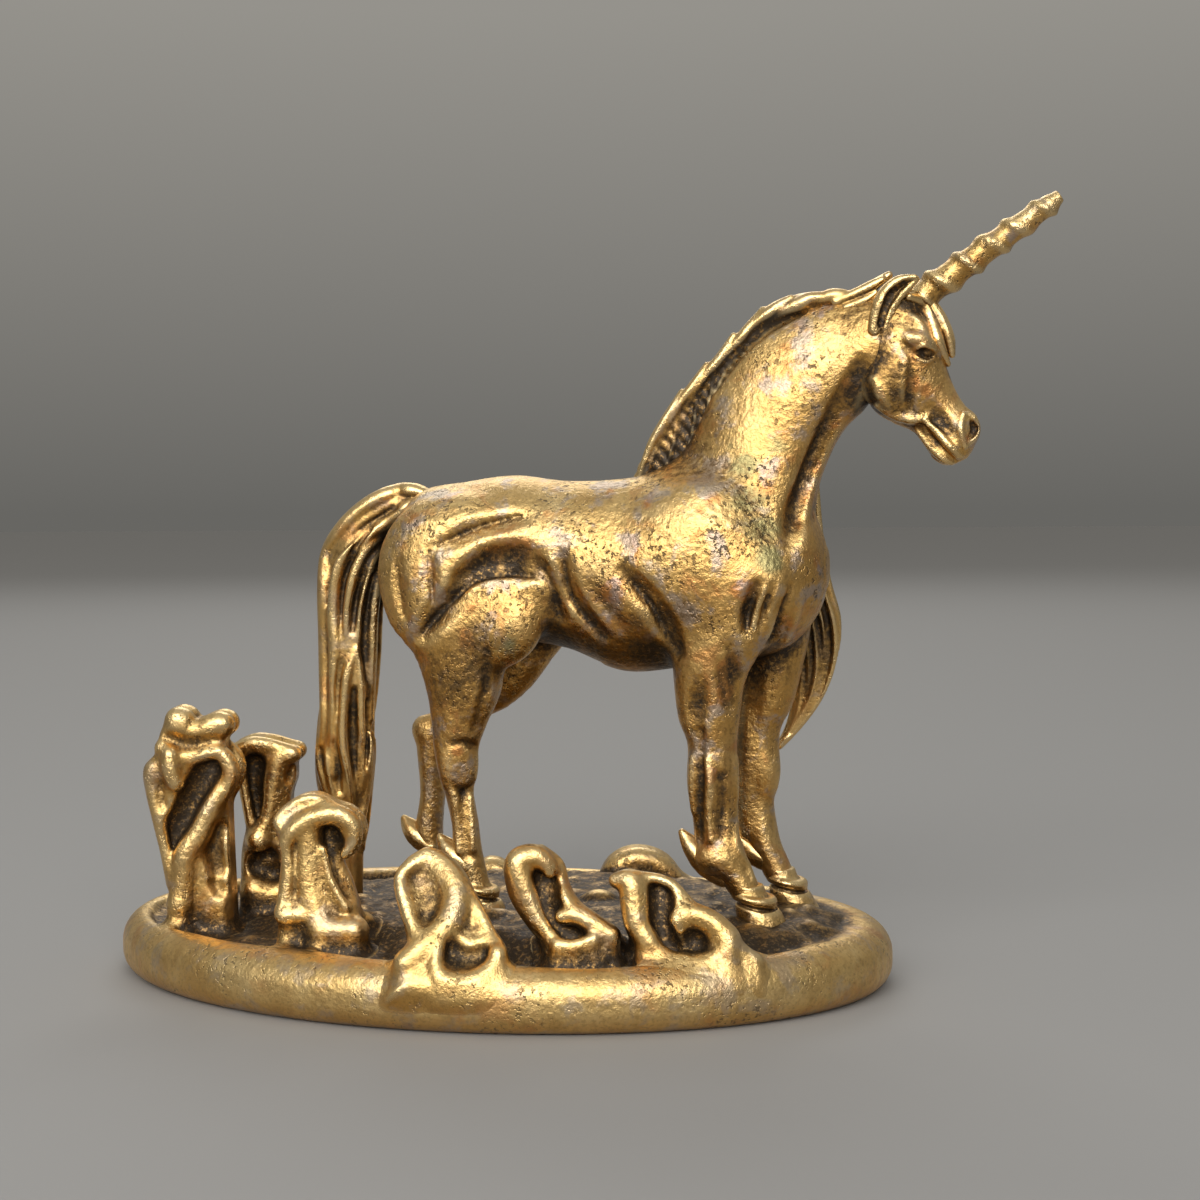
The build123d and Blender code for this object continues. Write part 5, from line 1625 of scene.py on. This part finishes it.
LIPS = {
    "wave_tall": [
        ([(161, 749), (176, 758), (194, 757), (217, 753), (229, 768), (226, 787), (211, 808), (199, 834),
          (186, 855), (183, 878), (180, 905)],
         [0.55, 0.6, 0.55, 0.55, 0.6, 0.6, 0.7, 0.8, 0.9, 0.85, 0.9], -0.45),
        ([(170, 755), (171, 769), (176, 783)], [0.55, 0.65, 0.55], 0.0),
        ([(151, 769), (153, 793), (158, 819), (164, 852), (171, 884)], [0.4, 0.4, 0.4, 0.4, 0.45], -0.5),
        ([(176, 722), (179, 723)], [0.95, 0.95], -0.9), ([(217, 725), (220, 726)], [0.85, 0.85], -0.9),
    ],
    "wave_column": [
        ([(236, 749), (252, 744), (273, 747), (293, 753)], [0.45, 0.5, 0.5, 0.42], -0.35),
        ([(292, 755), (280, 759), (274, 778), (271, 799), (267, 819), (258, 837)],
         [0.6, 0.7, 0.65, 0.6, 0.6, 0.75], -0.38),
        ([(257, 840), (259, 841)], [0.75, 0.75], -0.15),
        ([(238, 758), (241, 778), (245, 802), (249, 822)], [0.35, 0.35, 0.35, 0.35], -0.5),
        ([(252, 890), (267, 896), (285, 893)], [0.8, 0.8, 0.7], -0.4),
    ],
    "wave_tail": [
        ([(288, 840), (295, 830), (311, 819), (335, 815), (351, 825), (353, 843), (344, 855)],
         [0.45, 0.6, 0.65, 0.7, 0.65, 0.5, 0.35], -0.3),
        ([(308, 828), (308, 855), (308, 881), (313, 905), (320, 925)], [0.85, 0.9, 0.95, 1.1, 1.2], -0.7),
        ([(323, 849), (330, 878), (346, 908)], [0.25, 0.25, 0.25], -0.1),
        ([(285, 843), (288, 866), (285, 893), (282, 913)], [0.4, 0.38, 0.42, 0.55], -0.35),
        ([(323, 931), (355, 931)], [0.85, 0.8], -0.2), ([(285, 916), (302, 916)], [0.6, 0.6], -0.2),
    ],
    "wave_rim": [
        ([(414, 861), (432, 855), (449, 872), (457, 896), (448, 922), (429, 940), (405, 961)],
         [0.5, 0.6, 0.85, 0.95, 0.95, 0.8, 0.7], -0.5),
        ([(426, 852), (402, 871), (401, 890), (410, 919), (417, 934)], [0.4, 0.4, 0.4, 0.4, 0.4], -0.35),
        ([(438, 943), (436, 966), (446, 980), (473, 981), (493, 966), (498, 952)],
         [0.35, 0.35, 0.4, 0.42, 0.42, 0.45], -0.15),
        ([(455, 872), (473, 899), (488, 928), (498, 949)], [0.4, 0.4, 0.4, 0.4], -0.5),
    ],
    "wave_belly": [
        ([(558, 944), (540, 920), (529, 898), (519, 873), (520, 860), (536, 856), (547, 866), (549, 873)],
         [0.3, 0.45, 0.6, 0.8, 0.85, 0.75, 0.5, 0.35], -0.42),
        ([(540, 848), (558, 862), (563, 881), (569, 898)], [0.32, 0.32, 0.32, 0.3], -1.5),
        ([(562, 916), (580, 916), (597, 926), (611, 935)], [0.5, 0.65, 0.65, 0.55], -0.5),
        ([(558, 945), (574, 946), (594, 939)], [0.3, 0.3, 0.3], -0.1),
    ],
    "wave_front": [
        ([(615, 879), (631, 882), (634, 903), (637, 923), (647, 939), (658, 953)],
         [0.4, 0.8, 0.8, 0.75, 0.6, 0.4], -0.45),
        ([(630, 877), (652, 877), (672, 884), (688, 901)], [0.35, 0.35, 0.35, 0.3], -0.6),
        ([(677, 919), (694, 914), (713, 923), (727, 938), (726, 953), (705, 962), (680, 962), (661, 953)],
         [0.5, 0.65, 0.75, 0.75, 0.65, 0.5, 0.45, 0.35], -0.4),
        ([(727, 942), (745, 954), (758, 960)], [0.5, 0.4, 0.2], -0.5),
    ],
}

# Radius of a wave's edges, room round it in its grid, and the lowest point of the grid.
WAVE_TURN = 0.9
WAVE_ROOM = 1.4
WAVE_BOTTOM = 1.2

# How much shallower the bowls of the far face are, as a share of their depth.
FAR_BOWL = 0.65

# Lips below this height run down into the pool, to this height, and grow wider on the way.
LOW_LIP = 5.4
LIP_FOOT = POOL - 0.8
LIP_SPREAD = 1.15

# Width of the fillet round a wave's foot, and how far its plate lies under the base's own surface.
SKIRT = 0.9
PLATE_SINK = 0.03

# Soot at the feet of the waves: amount, height over the pool where it ends, height over which it fades.
WAVE_SOOT = 1.1
WAVE_SOOT_TOP = 0.9
WAVE_SOOT_FADE = 0.6


def model_wave(name, foot, lean, outline, half_thick):
    """Curl with bowls and lips on both faces, and a foot that runs out into the base."""
    foot = np.array(foot)
    tilt = math.radians(lean)
    out = np.array([math.sin(LENS_TURN) * math.cos(tilt), -math.cos(LENS_TURN) * math.cos(tilt),
                    math.sin(tilt)])
    up = np.cross(out, WAVE_RIGHT)
    ring = np.array(outline)

    def both_faces(pixels, before):
        """Points over the near face under pixels, and the same over the far face."""
        rays = sight(pixels)
        gap = ((foot + half_thick * out - LENS_PLACE) @ out) / (rays @ out)
        near = LENS_PLACE + gap[:, None] * rays
        return near + before * out, near - (2 * half_thick + before) * out

    lips = [(path, radii) for pixels, radii, before in LIPS.get(name, [])
            for path in both_faces(pixels, before)]
    corners = [foot + u * WAVE_RIGHT + w * up + n * out for u, w in ring for n in (-half_thick, half_thick)]
    corners = np.vstack([corners] + [path for path, _ in lips])
    low = corners.min(0) - WAVE_ROOM
    low[2] = max(low[2], WAVE_BOTTOM)
    wax = Wax(low, corners.max(0) + WAVE_ROOM, voxel=0.13)
    cut, axes = wax.window(wax.low, wax.low + wax.size * wax.voxel)
    x, y, z = np.meshgrid(*axes, indexing="ij")
    p = np.stack([x, y, z], axis=-1) - foot
    u, w, n = p @ WAVE_RIGHT, p @ up, p @ out
    turn = min(WAVE_TURN, half_thick)
    d = rounded(polygon_distance(u, w, run_through(ring, 4 * len(ring))), np.abs(n) - half_thick, turn)
    wax.lay(cut, d.astype(np.float32), soft=0)

    for pixels, radius, depth in BOWLS.get(name, []):
        near, far = both_faces(pixels, radius - depth)
        wax.rod(near, radius, soft=0.4, carve=True)
        wax.rod(far - FAR_BOWL * depth * out, radius, soft=0.4, carve=True)
    for path, radii in lips:
        wax.rod(path, radii, soft=0.35)
        for *at, radius in run_through(np.column_stack([path, radii]), 3 * len(path)):
            if at[2] < LOW_LIP:
                wax.rod([at, (at[0], at[1], LIP_FOOT)], [radius, LIP_SPREAD * radius], soft=0.35)
    wax.ease(1)

    # The foot runs out into the base with a small fillet.
    own = wax.field.copy()
    plate = (base_distance(x, y, z) + PLATE_SINK).astype(np.float32)
    wax.field = np.maximum(melt(own, plate, SKIRT), own - 0.9 * SKIRT)
    return wax


def wave_soot(place):
    """Soot of the pool that reaches up the feet of the waves."""
    above = place[:, 2] - pool_height(place[:, 0], place[:, 1])
    return WAVE_SOOT * inside_rim(place) * np.clip((WAVE_SOOT_TOP - above) / WAVE_SOOT_FADE, 0, 1)


for name, curl in CURLS.items():
    SOOT_AND_SHADE[name] = wave_soot
    pour(name, model_wave(name, *curl), RIM_BRASS, [name])


# Stage: pale floor, soft light and the photograph's camera.

FLOOR_HALF = 3.0
FLOOR_GREY = (0.31, 0.304, 0.294, 1)
SENSOR = 36.0

# Lamps in metres and watts: place, size, power. They all face one point.
LIT_POINT = (0.005, 0, 0.03)
LAMPS = {
    "key_softbox": ((0.05, -0.52, 0.48), (0.7, 0.35), 2.1),
    "front_softbox": ((0.02, -0.52, 0.24), (0.8, 0.26), 2.1),
    "back_softbox": ((-0.15, 0.50, 0.45), (0.4, 0.25), 0.9),
}

# Colours of the backdrop from the horizon up.
BACKDROP = [(0.0, (0.136, 0.133, 0.123)), (0.25, (0.30, 0.288, 0.262)), (0.6, (0.34, 0.33, 0.31)),
            (1.0, (0.5, 0.49, 0.47))]


def looking(right, up, ahead, place):
    """Matrix of a lamp or camera from its axes and its place."""
    rows = [[right[k], up[k], -ahead[k], place[k]] for k in range(3)]
    return Matrix(rows + [[0, 0, 0, 1]])


def build_stage():
    """Floor, lamps, backdrop and camera."""
    mesh = bpy.data.meshes.new("floor")
    corners = [(x * FLOOR_HALF, y * FLOOR_HALF, 0) for x, y in ((-1, -1), (1, -1), (1, 1), (-1, 1))]
    mesh.from_pydata(corners, [], [(0, 1, 2, 3)])
    floor = bpy.data.objects.new("floor", mesh)
    bpy.context.collection.objects.link(floor)
    paint = bpy.data.materials.new("pale_floor")
    paint.use_nodes = True
    shader = paint.node_tree.nodes["Principled BSDF"]
    shader.inputs["Base Color"].default_value = FLOOR_GREY
    shader.inputs["Roughness"].default_value = 0.8
    mesh.materials.append(paint)

    def lamp(name, place, size, power):
        light = bpy.data.lights.new(name, "AREA")
        light.shape = "RECTANGLE"
        light.size, light.size_y = size
        light.energy = power
        item = bpy.data.objects.new(name, light)
        bpy.context.collection.objects.link(item)
        ahead = np.array(LIT_POINT) - np.array(place)
        ahead = ahead / np.linalg.norm(ahead)
        right = np.cross(ahead, [0, 0, 1])
        right /= np.linalg.norm(right)
        up = np.cross(right, ahead)
        item.matrix_world = looking(right, up, ahead, place)

    for name, lamp_row in LAMPS.items():
        lamp(name, *lamp_row)

    world = bpy.data.worlds.new("studio")
    world.use_nodes = True
    air = world.node_tree
    rise = wire(air, "ShaderNodeSeparateXYZ",
                {0: wire(air, "ShaderNodeTexCoord").outputs["Generated"]}).outputs["Z"]
    air.links.new(ramp(air, rise, BACKDROP), air.nodes["Background"].inputs["Color"])
    bpy.context.scene.world = world

    lens = bpy.data.cameras.new("camera")
    lens.sensor_width = SENSOR
    lens.lens = LENS_FOCAL / (2 * PHOTO_HALF) * SENSOR
    lens.clip_start = 0.01
    view = bpy.data.objects.new("camera", lens)
    bpy.context.collection.objects.link(view)
    view.matrix_world = looking(LENS_RIGHT, LENS_UP, LENS_AHEAD, LENS_PLACE * MM)
    bpy.context.scene.camera = view
    bpy.context.scene.view_settings.view_transform = "Standard"


age_castings()
build_stage()
bpy.context.view_layer.update()
